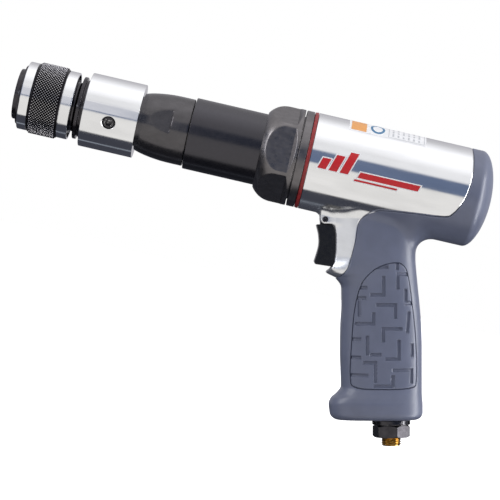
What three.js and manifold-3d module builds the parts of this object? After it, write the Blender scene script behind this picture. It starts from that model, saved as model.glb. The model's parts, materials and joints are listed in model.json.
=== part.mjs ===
// A pistol-grip pneumatic hammer: a sprung barrel with a quick-change retainer in front of a motor housing,
// and a trigger, a throttle valve and an air inlet in the grip.
// Millimetres, +Z up. The barrel lies along X with its nose towards -X, and XZ is the plane of symmetry.
// The origin is the middle of the hand grip.
import * as THREE from "three";
import { mergeVertices } from "three/addons/utils/BufferGeometryUtils.js";
import Module from "manifold-3d";

const wasm = await Module();
wasm.setup();

// Driving dimensions.
const GAP = 0.3; // clearance between pieces that touch or slide
const AXIS_Z = 94; // height of the barrel's axis
const LEAN = THREE.MathUtils.degToRad(13); // the grip leans this far back from a square to the barrel
const ROUND = 24; // facets round a turned piece
const BODY_ROUND = 32; // facets round the motor housing and the grip cover

// Stations along the barrel's axis, from the nose to the back.
const NOSE_X = -256.9;
const SLEEVE_FRONT = -252.4;
const KNURL_FRONT = -246.3;
const KNURL_BACK = -226.8;
const SLEEVE_BACK = -220.2;
const COLLAR_FRONT = -212.4;
const COLLAR_BACK = -177.9;
const JACKET_FRONT = -145.3;
const NUT_FRONT = -99.6;
const NUT_FULL = -86.7; // where the nut's rounded front reaches its full radius
const NUT_BACK = -77;
const LOCK_RING_BACK = -71.3;
const HOUSING_FRONT = -68.4;
const SPIGOT_BACK = -58;
const FLANGE_FRONT = -74; // the barrel's flange, which the isolator spring pushes forward
const FLANGE_BACK = -68;
const SPRING_SEAT = -40;
const CHAMBER_FRONT = -30;
const CHAMBER_BACK = 34;

// Radii about the barrel's axis.
const SOCKET_R = 10.3; // takes a tool's collar
const SHANK_R = 5.3; // takes a 10.2 mm tool shank
const PISTON_R = 9.35;
const CYLINDER_R = 9.5;
const BODY_R = 30.7;
const RETAINER_R = 14; // the retainer body, under its sleeve
const THREAD_R = 15.7; // tails of the barrel and of the retainer body, screwed into the collar
const TUBE_R = 17.5; // the barrel inside its jacket
const GLAND_R = 24.7; // bore of the nut's spigot, where the barrel's flange slides
const CORE_R = 27.2; // the housing under the grip cover

// The retainer's ball latch.
const BALLS = 4;
const BALL_R = 3.2;
const BALL_X = -241;
const BALL_SEAT_R = 12.2; // from the axis to a latched ball's centre
const LATCH_R = 15.75; // the sleeve's lock land, outside the balls
const LATCH_SLOPE = 0.2; // the sleeve's cone lets a ball out by this much for each millimetre of travel

// The trigger and the throttle, in the grip's own frame: x forward is negative, z runs along the grip.
const PIN = [-35.6, 69.9];
const PIN_R = 1.7;
const TRIGGER_HALF = 9;
const TONGUE_HALF = 5.5;
const THROTTLE_Z = 52;
const THROTTLE_BORE_R = 7.3;
const SEAT_X = -12.3; // the throttle valve's seat
const INLET_X = 6.3; // the air inlet's axis
const INLET_BOTTOM = -55.8;
const HEX_TOP = -59.5;
const HEX_BOTTOM = -67.1;
const NIPPLE_END = -72.5;
const INLET_THREAD_R = 9;

// Solids.

// A closed three.js geometry as a solid for cutting and joining.
function solid(geometry) {
  const bare = geometry.index ? geometry.toNonIndexed() : geometry.clone();
  bare.deleteAttribute("normal");
  bare.deleteAttribute("uv");
  const merged = mergeVertices(bare, 1e-4);
  const corners = merged.index.array;
  const faces = [];
  for (let i = 0; i < corners.length; i += 3) {
    const [a, b, c] = corners.slice(i, i + 3);
    if (a !== b && b !== c && c !== a) faces.push(a, b, c);
  }
  const vertProperties = merged.attributes.position.array;
  const triVerts = new Uint32Array(faces);
  return new wasm.Manifold(new wasm.Mesh({ numProp: 3, vertProperties, triVerts }));
}

// A solid back as a three.js geometry with flat faces.
function geometryOf(made) {
  const { vertProperties, triVerts } = made.getMesh();
  const shared = new THREE.BufferGeometry();
  shared.setAttribute("position", new THREE.BufferAttribute(vertProperties, 3));
  shared.setIndex(new THREE.BufferAttribute(triVerts, 1));
  const flat = shared.toNonIndexed();
  flat.computeVertexNormals();
  return flat;
}

function join(first, ...others) {
  return others.reduce((whole, other) => whole.add(other), first);
}

function cut(first, ...others) {
  return others.reduce((whole, other) => whole.subtract(other), first);
}

// An outline of [along, radius] corners turned about Y, whichever way round the corners are listed.
function lathe(corners, facets) {
  const outline = corners.map(([along, radius]) => new THREE.Vector2(radius, along));
  if (THREE.ShapeUtils.isClockWise(outline)) outline.reverse();
  outline.push(outline[0].clone());
  return new THREE.LatheGeometry(outline, facets);
}

// Turned about the barrel's axis.
function turned(corners, facets = ROUND) {
  return solid(lathe(corners, facets).rotateZ(-Math.PI / 2).translate(0, 0, AXIS_Z));
}

// Turned about the air inlet's axis, in the grip's frame.
function turnedInlet(corners, facets = ROUND) {
  return solid(lathe(corners, facets).rotateX(Math.PI / 2).translate(INLET_X, 0, 0));
}

// Turned about the throttle's axis, in the grip's frame.
function turnedThrottle(corners, facets = ROUND / 2) {
  return solid(lathe(corners, facets).rotateZ(-Math.PI / 2).translate(0, 0, THROTTLE_Z));
}

// The corners of a ring's section.
function ringCorners(from, to, inner, outer) {
  return [
    [from, inner],
    [from, outer],
    [to, outer],
    [to, inner],
  ];
}

// A round bar or hole between two points.
function rod(from, to, radius, facets = ROUND / 2) {
  const [a, b] = [new THREE.Vector3(...from), new THREE.Vector3(...to)];
  const bar = new THREE.CylinderGeometry(radius, radius, a.distanceTo(b), facets);
  const turn = new THREE.Quaternion().setFromUnitVectors(new THREE.Vector3(0, 1, 0), b.clone().sub(a).normalize());
  const middle = a.add(b).multiplyScalar(0.5);
  return solid(bar.applyQuaternion(turn).translate(middle.x, middle.y, middle.z));
}

// A slab of an XZ outline, centred on the plane of symmetry.
function slab(shape, halfWidth, curveSegments = 2) {
  const options = { depth: 2 * halfWidth, bevelEnabled: false, curveSegments };
  return new THREE.ExtrudeGeometry(shape, options).translate(0, 0, -halfWidth).rotateX(Math.PI / 2);
}

function polygon(corners) {
  return new THREE.Shape(corners.map(([x, z]) => new THREE.Vector2(x, z)));
}

// A round-wire spring about X between two stations, as one tube along a helix.
class Helix extends THREE.Curve {
  constructor(from, to, radius, turns, z) {
    super();
    Object.assign(this, { from, to, radius, turns, z });
  }
  getPoint(t, target = new THREE.Vector3()) {
    const angle = 2 * Math.PI * this.turns * t;
    const x = THREE.MathUtils.lerp(this.from, this.to, t);
    return target.set(x, this.radius * Math.sin(angle), this.z + this.radius * Math.cos(angle));
  }
}

function spring(from, to, radius, turns, wire, z) {
  const path = new Helix(from + wire, to - wire, radius, turns, z);
  const section = new THREE.Shape().absarc(0, 0, wire, 0, 2 * Math.PI);
  const options = { steps: Math.round(10 * turns), curveSegments: 3, extrudePath: path, bevelEnabled: false };
  return solid(new THREE.ExtrudeGeometry(section, options));
}

// Takes a geometry or solid out of the grip's leaning frame into the barrel's.
function leaned(geometry) {
  return geometry.clone().rotateY(-LEAN);
}

// A point given along the barrel, in the grip's frame.
function inGrip(x, z) {
  return [x * Math.cos(LEAN) + z * Math.sin(LEAN), z * Math.cos(LEAN) - x * Math.sin(LEAN)];
}

// The grip.

// Rounded sections of the grip and of the web in front of it: [height, front, back, half width].
const GRIP_SECTIONS = [
  [-55.8, -24, 19.5, 14],
  [-54.2, -29.5, 24, 17.8],
  [-51, -32.4, 26, 19.6],
  [-46, -33.1, 26, 19.8],
  [-42.5, -31.8, 25.6, 19.2],
  [-39, -27.8, 25.5, 18.3],
  [-35, -25.2, 25.5, 17.6],
  [-12, -26, 25.5, 17.2],
  [3, -25.8, 25.1, 16.9],
  [16, -25.1, 24.1, 16.6],
  [27, -25.2, 23, 16.5],
  [33.4, -29.5, 22.4, 16.7],
  [36.5, -36.5, 22.1, 16.9],
  [45, -37, 21.5, 17.6],
  [51, -37.5, 22.1, 18.6],
  [54.8, -37.8, 27.7, 19.6],
  [57, -38, 35.5, 20.6],
  [66, -38.1, 37, 23],
  [76, -38.1, 37, 24],
];
const SECTION_POWER = 0.74; // 1 is an ellipse, and less is squarer

// The grip's outside, shrunk by an inset, up to a height that lies inside the housing.
function gripGeometry(inset = 0) {
  const rows = GRIP_SECTIONS.length - 1;
  const unit = new THREE.CylinderGeometry(1, 1, 1, 20, rows);
  const place = unit.attributes.position;
  const rounded = (value) => Math.sign(value) * Math.abs(value) ** SECTION_POWER;
  for (let i = 0; i < place.count; i++) {
    const row = Math.round((place.getY(i) + 0.5) * rows);
    const [height, front, back, half] = GRIP_SECTIONS[row];
    const x = (front + back) / 2 + rounded(place.getX(i)) * ((back - front) / 2 - inset);
    const y = rounded(-place.getZ(i)) * (half - inset);
    place.setXYZ(i, x, y, row < rows ? height + inset * (1 - row / rows) : height);
  }
  return leaned(unit);
}

// The seam between the silver housing and the grip cover, from the top down to the lip under the trigger.
function seamPoints() {
  const round = [
    [29.8, 124.6],
    [31.7, 107],
    [30.5, 93.5],
    [28.6, 87.2],
    [25.4, 80.9],
    [20.6, 77.6],
    [2, 75.5],
    [-14.9, 73.4],
    [-22.5, 71],
  ].map(([x, z]) => inGrip(x, z));
  const web = [
    [-14.5, 68.7],
    [-17, 56.7],
    [-19.5, 46.6],
    [-21.4, 40.3],
    [-24.6, 35.6],
    [-28.4, 33.4],
  ];
  return [...round, ...web].map(([x, z]) => new THREE.Vector2(x, z));
}

// Everything behind and below the seam, moved back by a clearance.
function coverZone(back = 0) {
  const [top, ...rest] = seamPoints().map((point) => point.add(new THREE.Vector2(back, -back)));
  const outline = new THREE.Shape().moveTo(top.x - 6, top.y + 26).lineTo(top.x, top.y);
  outline.splineThru(rest);
  outline.lineTo(-60, 33.4 - back).lineTo(-60, -90).lineTo(110, -90).lineTo(110, top.y + 26);
  return solid(leaned(slab(outline, 50)));
}

// The housing's round outside with the end cap's shallow dome.
function bodyRound() {
  const dome = [
    [37, BODY_R],
    [39.6, 29],
    [42.2, 26],
    [44.8, 22],
    [46.6, 17],
    [48, 9.5],
    [48.6, 0],
  ];
  return turned([[HOUSING_FRONT, 0], [HOUSING_FRONT, BODY_R], ...dome], BODY_ROUND);
}

// The housing's solid middle, which the grip cover wraps.
function core(grow = 0) {
  const round = turned(
    [
      [-20, 0],
      [-20, CORE_R + grow],
      [38 + grow, CORE_R + grow],
      [43 + grow, 18 + grow],
      [44 + grow, 0],
    ],
    BODY_ROUND,
  );
  return round.add(solid(gripGeometry(3.4 - grow)));
}

const LUG = [
  [-38.1, 84],
  [-38.1, 68],
  [-36.5, 66.2],
  [-30.2, 64.3],
  [-14, 64.3],
  [-14, 84],
];
const WEB = [
  [-30.2, 66],
  [-29.2, 60],
  [-29.3, 50.4],
  [-30.9, 42.8],
  [-33.4, 39.1],
  [-35, 37.8],
  [-34.7, 36.5],
  [-28.4, 33.4],
  [-12, 33.4],
  [-12, 84],
  [-30.2, 84],
];
const TRIGGER_POCKET = [
  [-50, 65.9],
  [-27.4, 65.9],
  [-25.4, 60],
  [-24.1, 52],
  [-23.6, 44],
  [-24.8, 39.1],
  [-50, 39.1],
];
const TONGUE_SLOT = [
  [-50, 60],
  [-29, 60],
  [-29, 73.1],
  [-50, 73.1],
];

// The silver web and lugs that carry the trigger.
function triggerWeb() {
  const web = solid(gripGeometry()).intersect(solid(leaned(slab(polygon(WEB), 40))));
  const lugs = solid(leaned(slab(polygon(LUG), 11)));
  const below = turned([[HOUSING_FRONT, 0], [HOUSING_FRONT, BODY_R - 2], [0, BODY_R - 2], [0, 0]]);
  return join(web, lugs).subtract(below);
}

function throttleBores() {
  const inlet = turnedInlet([[-90, 0], [-90, INLET_THREAD_R + GAP], [-36, INLET_THREAD_R + GAP], [-36, 0]]);
  const airway = turnedInlet([[-40, 0], [-40, 6], [47, 6], [47, 0]], ROUND / 2);
  const valve = turnedThrottle([[-50, 0], [-50, THROTTLE_BORE_R], [8, THROTTLE_BORE_R], [8, 0]]);
  const exhaust = rod([-11, 0, -90], [-11, 0, 34], 4);
  return [inlet, airway, valve, exhaust].map((hole) => hole.rotate([0, THREE.MathUtils.radToDeg(-LEAN), 0]));
}

function pinHole(halfLength, radius) {
  const [x, z] = PIN;
  return rod([x, -halfLength, z], [x, halfLength, z], radius, 12);
}

function motorHousing() {
  const shell = join(bodyRound(), triggerWeb()).subtract(coverZone(-GAP));
  const bore = turned(
    [
      [HOUSING_FRONT - 1, 0],
      [HOUSING_FRONT - 1, 26.4 + GAP],
      [SPIGOT_BACK + GAP, 26.4 + GAP],
      [SPIGOT_BACK + GAP, GLAND_R],
      [SPRING_SEAT, GLAND_R],
      [SPRING_SEAT, 20.2],
      [CHAMBER_FRONT, 20.2],
      [CHAMBER_FRONT, 23],
      [CHAMBER_BACK - 3, 23],
      [CHAMBER_BACK, 20],
      [CHAMBER_BACK, 0],
    ],
    BODY_ROUND,
  );
  const feed = rod([-27, 0, 46], [-27, 0, 74], 2.8, 12);
  const toRow = (hole) => hole.rotate([0, THREE.MathUtils.radToDeg(-LEAN), 0]);
  const pocket = solid(leaned(slab(polygon(TRIGGER_POCKET), TRIGGER_HALF + GAP)));
  const slot = solid(leaned(slab(polygon(TONGUE_SLOT), TONGUE_HALF + GAP)));
  const whole = join(shell, core());
  return cut(whole, bore, feed, pocket, slot, toRow(pinHole(20, PIN_R + 0.2)), ...throttleBores());
}

// The outline of the soft pad let into each side of the grip, in the grip's frame.
function panelOutline(grow = 0) {
  const edge = [
    [6, 42.4],
    [-3.8, 39.1],
    [-12.6, 30.2],
    [-17.2, 15],
    [-19.2, -5],
    [-20.2, -28.4],
    [-17, -34.8],
    [0, -36],
    [18, -35],
    [21.4, -30],
    [21, -5],
    [18.6, 18],
    [15.8, 36],
    [12, 41.6],
  ];
  const [middleX, middleZ] = [1, 3];
  const grown = edge.map(([x, z]) => {
    const out = new THREE.Vector2(x - middleX, z - middleZ);
    return out.setLength(out.length() + grow).add(new THREE.Vector2(middleX, middleZ));
  });
  return new THREE.Shape().setFromPoints([...new THREE.SplineCurve([...grown, grown[0]]).getPoints(28)]);
}

function panelSlab(grow, halfWidth) {
  return solid(leaned(slab(panelOutline(grow), halfWidth)));
}

const PANEL_DEPTH = 1.7;

function gripCover() {
  const outside = join(bodyRound(), solid(gripGeometry())).intersect(coverZone());
  const pocket = panelSlab(GAP, 40).subtract(solid(gripGeometry(PANEL_DEPTH + GAP)));
  return cut(outside, core(GAP), pocket, ...throttleBores());
}

// A pad on the side given by a sign: -1 is the tool's left.
function gripPanel(side) {
  const half = slab(panelOutline(), 15).translate(0, side * 18, 0);
  return solid(gripGeometry()).subtract(solid(gripGeometry(PANEL_DEPTH))).intersect(solid(leaned(half)));
}

// The retainer.

function noseRing() {
  return turned([
    [NOSE_X, SOCKET_R],
    [NOSE_X, 15.4],
    [NOSE_X + 0.6, 16],
    [-254, 16],
    [-254, 18.7],
    [SLEEVE_FRONT - GAP, 18.7],
    [SLEEVE_FRONT - GAP, RETAINER_R + GAP],
    [-255.2, RETAINER_R + GAP],
    [-255.2, SOCKET_R],
  ]);
}

// Where the retainer's spring rests, and the guide ridge behind it.
const LAND_FRONT = -221.5;
const RIDGE_FRONT = -217.1;
const RIDGE_BACK = -214.9;
const TAIL_END = -200.3;

function ballAngle(i) {
  return (2 * Math.PI * i) / BALLS;
}

function retainerBody() {
  const body = turned([
    [-254.9, SOCKET_R],
    [-254.9, RETAINER_R],
    [LAND_FRONT, RETAINER_R],
    [LAND_FRONT, 16],
    [RIDGE_FRONT, 16],
    [RIDGE_FRONT, 19.8],
    [RIDGE_BACK, 19.8],
    [RIDGE_BACK, 18.3],
    [COLLAR_FRONT - GAP, 18.3],
    [COLLAR_FRONT - GAP, THREAD_R],
    [TAIL_END, THREAD_R],
    [TAIL_END, SOCKET_R],
  ]);
  const holes = Array.from({ length: BALLS }, (_, i) => {
    const [y, z] = [Math.sin(ballAngle(i)), Math.cos(ballAngle(i))];
    const at = (radius) => [BALL_X, radius * y, AXIS_Z + radius * z];
    return rod(at(6), at(20), BALL_R + GAP, 12);
  });
  return cut(body, ...holes);
}

function latchBall(i) {
  const ball = new THREE.SphereGeometry(BALL_R, 10, 6);
  const [y, z] = [Math.sin(ballAngle(i)), Math.cos(ballAngle(i))].map((part) => part * BALL_SEAT_R);
  return solid(ball.translate(BALL_X, y, AXIS_Z + z));
}

// The sleeve's cone over the balls, at a station in front of the lock land.
function coneRadius(x) {
  return LATCH_R + LATCH_SLOPE * (BALL_X - 0.5 - x);
}

const FLANGE_X = -236.5; // the sleeve's inner flange, which the spring pushes through a washer
const WASHER_FRONT = -234.2;
const WASHER_BACK = -233.2;
const SKIRT_R = 20.1; // the sleeve's back end slides over the ridge

function retainerSleeve() {
  return turned([
    [KNURL_FRONT + GAP / 2, coneRadius(KNURL_FRONT)],
    [KNURL_FRONT + GAP / 2, 20.9],
    [KNURL_BACK + GAP / 2, 20.9],
    [KNURL_BACK + GAP / 2, 21.4],
    [SLEEVE_BACK - 0.6, 21.4],
    [SLEEVE_BACK, 20.8],
    [SLEEVE_BACK, SKIRT_R],
    [WASHER_FRONT - GAP, SKIRT_R],
    [WASHER_FRONT - GAP, RETAINER_R + GAP + 0.05],
    [FLANGE_X, RETAINER_R + GAP + 0.05],
    [FLANGE_X, LATCH_R],
    [BALL_X - 0.5, LATCH_R],
  ]);
}

function knurledRing() {
  return turned(ringCorners(KNURL_FRONT + GAP / 2, KNURL_BACK - GAP / 2, 20.9 + 0.2, 22.4));
}

function sleeveFrontRing() {
  return turned([
    [SLEEVE_FRONT, 17.2],
    [SLEEVE_FRONT, 20.9],
    [SLEEVE_FRONT + 0.6, 21.5],
    [KNURL_FRONT - GAP / 2, 21.5],
    [KNURL_FRONT - GAP / 2, coneRadius(KNURL_FRONT - GAP / 2)],
    [-249, coneRadius(-249)],
  ]);
}

function springWasher() {
  return turned(ringCorners(WASHER_FRONT, WASHER_BACK, RETAINER_R + GAP, SKIRT_R - 0.4));
}

// The set screw that locks the collar, below the horizontal on the tool's left.
const SCREW_X = -195.1;
const SCREW_BELOW = THREE.MathUtils.degToRad(15.5);

function alongScrew(radius) {
  return [SCREW_X, -radius * Math.cos(SCREW_BELOW), AXIS_Z - radius * Math.sin(SCREW_BELOW)];
}

function retainerCollar() {
  const collar = turned([
    [COLLAR_FRONT, THREAD_R + GAP],
    [COLLAR_FRONT, 22.9],
    [COLLAR_FRONT + 0.5, 23.4],
    [COLLAR_BACK - 0.5, 23.4],
    [COLLAR_BACK, 22.9],
    [COLLAR_BACK, THREAD_R + GAP],
  ]);
  return collar.subtract(rod(alongScrew(14), alongScrew(30), 3.8));
}

function setScrew() {
  const body = rod(alongScrew(THREAD_R + 0.5), alongScrew(22.9), 3.45);
  return body.subtract(rod(alongScrew(19.5), alongScrew(24), 2.2, 6));
}

// The barrel and what moves with it.

const WRENCH_FLAT = 19.8; // from the axis to the flats milled on the barrel's nose
const FLAT_BACK = -157.5;
const FLAT_TILT = 10; // degrees that the flats are turned up from the vertical
const TAIL_R = 17;
const BARREL_END = -56;

function barrel() {
  const nose = [
    [-177.6, 18],
    [-173.6, 19.2],
    [-169, 20.1],
    [-164, 20.8],
    [-158, 21.25],
    [-152, 21.35],
    [-146, 21.35],
  ];
  const tube = turned([
    [-226, SHANK_R],
    [-226, 9.4],
    [-225.4, 10],
    [-199.7, 10],
    [-199.7, THREAD_R],
    [-177.6, THREAD_R],
    ...nose,
    [-146, TUBE_R],
    [-139.4, TUBE_R],
    [-139.4, 16.2],
    [-136.6, 16.2],
    [-136.6, TUBE_R],
    [FLANGE_FRONT, TUBE_R],
    [FLANGE_FRONT, GLAND_R - 0.4],
    [FLANGE_BACK, GLAND_R - 0.4],
    [FLANGE_BACK, TAIL_R],
    [BARREL_END, TAIL_R],
    [BARREL_END, CYLINDER_R],
    [-189, CYLINDER_R],
    [-192, SHANK_R],
  ]);
  const mill = (side) => {
    const block = new THREE.BoxGeometry(16, 10, 60).translate(FLAT_BACK - 8, side * (WRENCH_FLAT + 5), 0);
    return solid(block.rotateX(-THREE.MathUtils.degToRad(FLAT_TILT)).translate(0, 0, AXIS_Z));
  };
  return cut(tube, mill(-1), mill(1));
}

function barrelSeal() {
  return turned(ringCorners(-139.1, -136.9, 16.5, TUBE_R + 0.2), ROUND);
}

function piston() {
  return turned([
    [-106, 0],
    [-106, 4.4],
    [-100, 4.4],
    [-97, PISTON_R],
    [-59, PISTON_R],
    [-58, 8.4],
    [-58, 0],
  ]);
}

function valveSeat() {
  return turned(ringCorners(BARREL_END + GAP, -49.7, 3, TAIL_R));
}

function valveDisc() {
  return turned([[-49.2, 0], [-49.2, 9.6], [-47.2, 9.6], [-47.2, 0]]);
}

function valveCap() {
  return turned([
    [-49.4, 10.2],
    [-49.4, TAIL_R],
    [-36.3, TAIL_R],
    [-36.3, 4],
    [-43.8, 4],
    [-43.8, 10.2],
  ]);
}

function valveNut() {
  return turned([
    [-66, TAIL_R + GAP],
    [-66, 19.6],
    [-37.3, 19.6],
    [-37.3, 18.3],
    [-34.9, 18.3],
    [-34.9, 19.6],
    [-33, 19.6],
    [-33, 11],
    [-36, 11],
    [-36, TAIL_R + GAP],
  ]);
}

function valveSeal() {
  return turned(ringCorners(-37, -35.2, 18.6, 19.9));
}

// The fixed pieces round the barrel.

function barrelJacket() {
  const bush = TUBE_R + 0.4;
  return turned([
    [JACKET_FRONT, 21.7],
    [JACKET_FRONT, 21.9],
    [JACKET_FRONT + 0.8, 22.7],
    [-82, 22.7],
    [-82, 24.4],
    [-78, 24.4],
    [-78, bush],
    [-90, bush],
    [-90, 21],
    [-133, 21],
    [-133, bush],
    [-142, bush],
    [-142, 21.7],
  ]);
}

const NUT_FLAT = 27.1; // from the axis to each of the six flats
const NUT_FLAT_BACK = -80;

// The nut's rounded front: a circular arc that is level where it reaches the full radius.
function nutFront(steps) {
  const [run, rise] = [NUT_FULL - NUT_FRONT, BODY_R - 23.8];
  const radius = (run * run + rise * rise) / (2 * rise);
  return Array.from({ length: steps + 1 }, (_, i) => {
    const x = NUT_FRONT + (run * i) / steps;
    return [x, BODY_R - radius + Math.sqrt(radius ** 2 - (NUT_FULL - x) ** 2)];
  });
}

function barrelNut() {
  const round = turned(
    [
      [NUT_FRONT, 23],
      ...nutFront(5),
      [NUT_BACK, BODY_R],
      [NUT_BACK, 26.4],
      [SPIGOT_BACK, 26.4],
      [SPIGOT_BACK, GLAND_R],
      [-82.3, GLAND_R],
      [-82.3, 23],
    ],
    36,
  );
  const flats = Array.from({ length: 6 }, (_, i) => {
    const block = new THREE.BoxGeometry(26, 10, 50).translate(NUT_FLAT_BACK - 13, NUT_FLAT + 5, 0);
    return solid(block.rotateX((i * Math.PI) / 3 + THREE.MathUtils.degToRad(5)).translate(0, 0, AXIS_Z));
  });
  return cut(round, ...flats);
}

function lockRing() {
  return turned(ringCorners(NUT_BACK + 0.7, LOCK_RING_BACK, 26.7, 30.6));
}

function gasketRing() {
  return turned(ringCorners(LOCK_RING_BACK + GAP, HOUSING_FRONT - GAP, 26.7, 30.8));
}

function frontBumper() {
  return turned(ringCorners(-77.7, FLANGE_FRONT - GAP, TUBE_R + 0.5, GLAND_R - 0.4));
}

// The trigger and the throttle, in the grip's frame.

function trigger() {
  const blade = new THREE.Shape().moveTo(-40.6, 65.4);
  blade.splineThru([
    [-39.4, 59],
    [-39.6, 53],
    [-42.3, 43.6],
  ].map(([x, z]) => new THREE.Vector2(x, z)));
  blade.lineTo(-41.4, 41.7).lineTo(-32.5, 39.5).lineTo(-30.5, 43.2).lineTo(-29.5, 50).lineTo(-29.4, 60);
  blade.lineTo(-30.6, 63.6).lineTo(-33.8, 65.2);
  const [x, z] = PIN;
  const tongue = new THREE.Shape().moveTo(x - 2.9, 62).lineTo(x - 2.9, z);
  tongue.absarc(x, z, 2.9, Math.PI, 0, true);
  tongue.lineTo(x + 2.9, 62);
  const body = join(solid(slab(blade, TRIGGER_HALF, 4)), solid(slab(tongue, TONGUE_HALF, 8)));
  return body.subtract(pinHole(20, PIN_R + 0.2));
}

function triggerPin() {
  return pinHole(10.8, PIN_R).subtract(pinHole(12, 0.8));
}

function throttleBushing() {
  const bush = turnedThrottle([
    [-23.3, 2.3],
    [-23.3, THROTTLE_BORE_R - GAP],
    [-22.3, THROTTLE_BORE_R - GAP],
    [-22.3, 5.9],
    [-20.7, 5.9],
    [-20.7, THROTTLE_BORE_R - GAP],
    [SEAT_X, THROTTLE_BORE_R - GAP],
    [SEAT_X, 4],
    [-19.5, 4],
    [-19.5, 2.3],
  ]);
  return bush.subtract(rod([-16.4, 0, THROTTLE_Z - 9], [-16.4, 0, THROTTLE_Z + 9], 2.4, 12));
}

function bushingSeal() {
  return turnedThrottle(ringCorners(-22.1, -20.9, 6.1, THROTTLE_BORE_R - 0.1));
}

function throttleStem() {
  return turnedThrottle([
    [-28.9, 0],
    [-28.9, 1.6],
    [-28.5, 2],
    [SEAT_X - 0.3, 2],
    [SEAT_X - 0.3, 1.4],
    [-8.2, 1.4],
    [-8.2, 0],
  ]);
}

function throttleValve() {
  return turnedThrottle([
    [SEAT_X + GAP, 1.6],
    [SEAT_X + GAP, 5.4],
    [-10.2, 5.4],
    [-9, 3],
    [-9, 1.6],
  ]);
}

function throttleSpring() {
  return spring(-8.7, 7.8, 4, 4, 0.55, THROTTLE_Z);
}

// The air inlet.

const SEAL_BOTTOM = -54.6;
const SEAL_TOP = -53.2;
const HEX_TURN = -15; // degrees about the inlet, so that a corner stands a little right of the middle

function inletBushing() {
  const neck = turnedInlet([
    [HEX_TOP - 1, 5.3],
    [HEX_TOP - 1, INLET_THREAD_R],
    [SEAL_BOTTOM - 0.2, INLET_THREAD_R],
    [SEAL_BOTTOM - 0.2, 7.9],
    [SEAL_TOP + 0.2, 7.9],
    [SEAL_TOP + 0.2, INLET_THREAD_R],
    [-36.4, INLET_THREAD_R],
    [-36.4, 5.3],
  ]);
  const hex = new THREE.CylinderGeometry(12, 12, HEX_TOP - HEX_BOTTOM, 6).rotateX(Math.PI / 2);
  const turn = THREE.MathUtils.degToRad(HEX_TURN);
  const head = solid(hex.rotateZ(turn).translate(INLET_X, 0, (HEX_TOP + HEX_BOTTOM) / 2));
  const rounding = turnedInlet([
    [HEX_BOTTOM, 0],
    [HEX_BOTTOM, 10.9],
    [HEX_BOTTOM + 0.8, 12],
    [HEX_TOP - 0.8, 12],
    [HEX_TOP, 10.9],
    [HEX_TOP, 0],
  ]);
  const socket = turnedInlet([
    [HEX_BOTTOM - 5, 0],
    [HEX_BOTTOM - 5, 6.6],
    [-56, 6.6],
    [-56, 5.3],
    [-30, 5.3],
    [-30, 0],
  ]);
  return join(neck, head.intersect(rounding)).subtract(socket);
}

function exhaustDeflector() {
  const ring = turnedInlet([
    [-59.2, INLET_THREAD_R + GAP],
    [-59.2, 11.4],
    [-58.6, 12],
    [INLET_BOTTOM - GAP, 12],
    [INLET_BOTTOM - GAP, INLET_THREAD_R + GAP],
  ]);
  const slots = Array.from({ length: 5 }, (_, i) => {
    const angle = Math.PI + ((i - 2) * Math.PI) / 8;
    const out = (radius) => [INLET_X + radius * Math.cos(angle), radius * Math.sin(angle), -56.6];
    return rod(out(10.4), out(14), 1.1, 8);
  });
  return cut(ring, ...slots);
}

function inletSeal() {
  return turnedInlet(ringCorners(SEAL_BOTTOM, SEAL_TOP, 8.2, INLET_THREAD_R + 0.1));
}

// A cup of wire cloth that keeps dirt out of the throttle.
function inletScreen() {
  return turnedInlet([
    [-52, 4.2],
    [-52, 5],
    [-44, 5],
    [-44, 0],
    [-44.8, 0],
    [-44.8, 4.2],
  ], 16);
}

function inletNipple() {
  return turnedInlet([
    [NIPPLE_END, 4.2],
    [NIPPLE_END, 5.7],
    [NIPPLE_END + 0.8, 6.3],
    [-56.4, 6.3],
    [-56.4, 4.2],
  ]);
}

// The assembly.

function material(color, roughness, metalness) {
  return new THREE.MeshStandardMaterial({ color, roughness, metalness });
}
const polished = () => material(0xd9dadd, 0.12, 1);
const satinSteel = () => material(0x8d8f92, 0.35, 1);
const gunmetal = () => material(0x5a5656, 0.35, 0.9);
const blackSteel = () => material(0x232427, 0.4, 0.7);
const springSteel = () => material(0x6f7276, 0.35, 1);
const rubber = () => material(0x17181a, 0.85, 0);
const greyMoulding = () => material(0x62667a, 0.5, 0);
const blackMoulding = () => material(0x1b1b1f, 0.4, 0);
const redSeal = () => material(0x96201e, 0.5, 0);
const brass = () => material(0xb08a3c, 0.35, 1);

const tool = new THREE.Group();
const grip = new THREE.Group();
grip.rotation.y = -LEAN;
tool.add(grip);

function piece(name, made, look, parent = tool) {
  const mesh = new THREE.Mesh(geometryOf(made), look);
  mesh.name = name;
  parent.add(mesh);
}

piece("motor_housing", motorHousing(), polished());
piece("grip_cover", gripCover(), greyMoulding());
piece("grip_panel_left", gripPanel(-1), greyMoulding());
piece("grip_panel_right", gripPanel(1), greyMoulding());

piece("nose_ring", noseRing(), blackSteel());
piece("retainer_body", retainerBody(), blackSteel());
for (let i = 0; i < BALLS; i++) piece(`latch_ball_${i + 1}`, latchBall(i), satinSteel());
piece("sleeve_front_ring", sleeveFrontRing(), polished());
piece("knurled_ring", knurledRing(), blackSteel());
piece("retainer_sleeve", retainerSleeve(), polished());
piece("spring_washer", springWasher(), satinSteel());
piece("retainer_spring", spring(WASHER_BACK + 0.2, LAND_FRONT - 0.2, 16.6, 3, 0.6, AXIS_Z), springSteel());
piece("retainer_collar", retainerCollar(), polished());
piece("set_screw", setScrew(), blackSteel());

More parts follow.
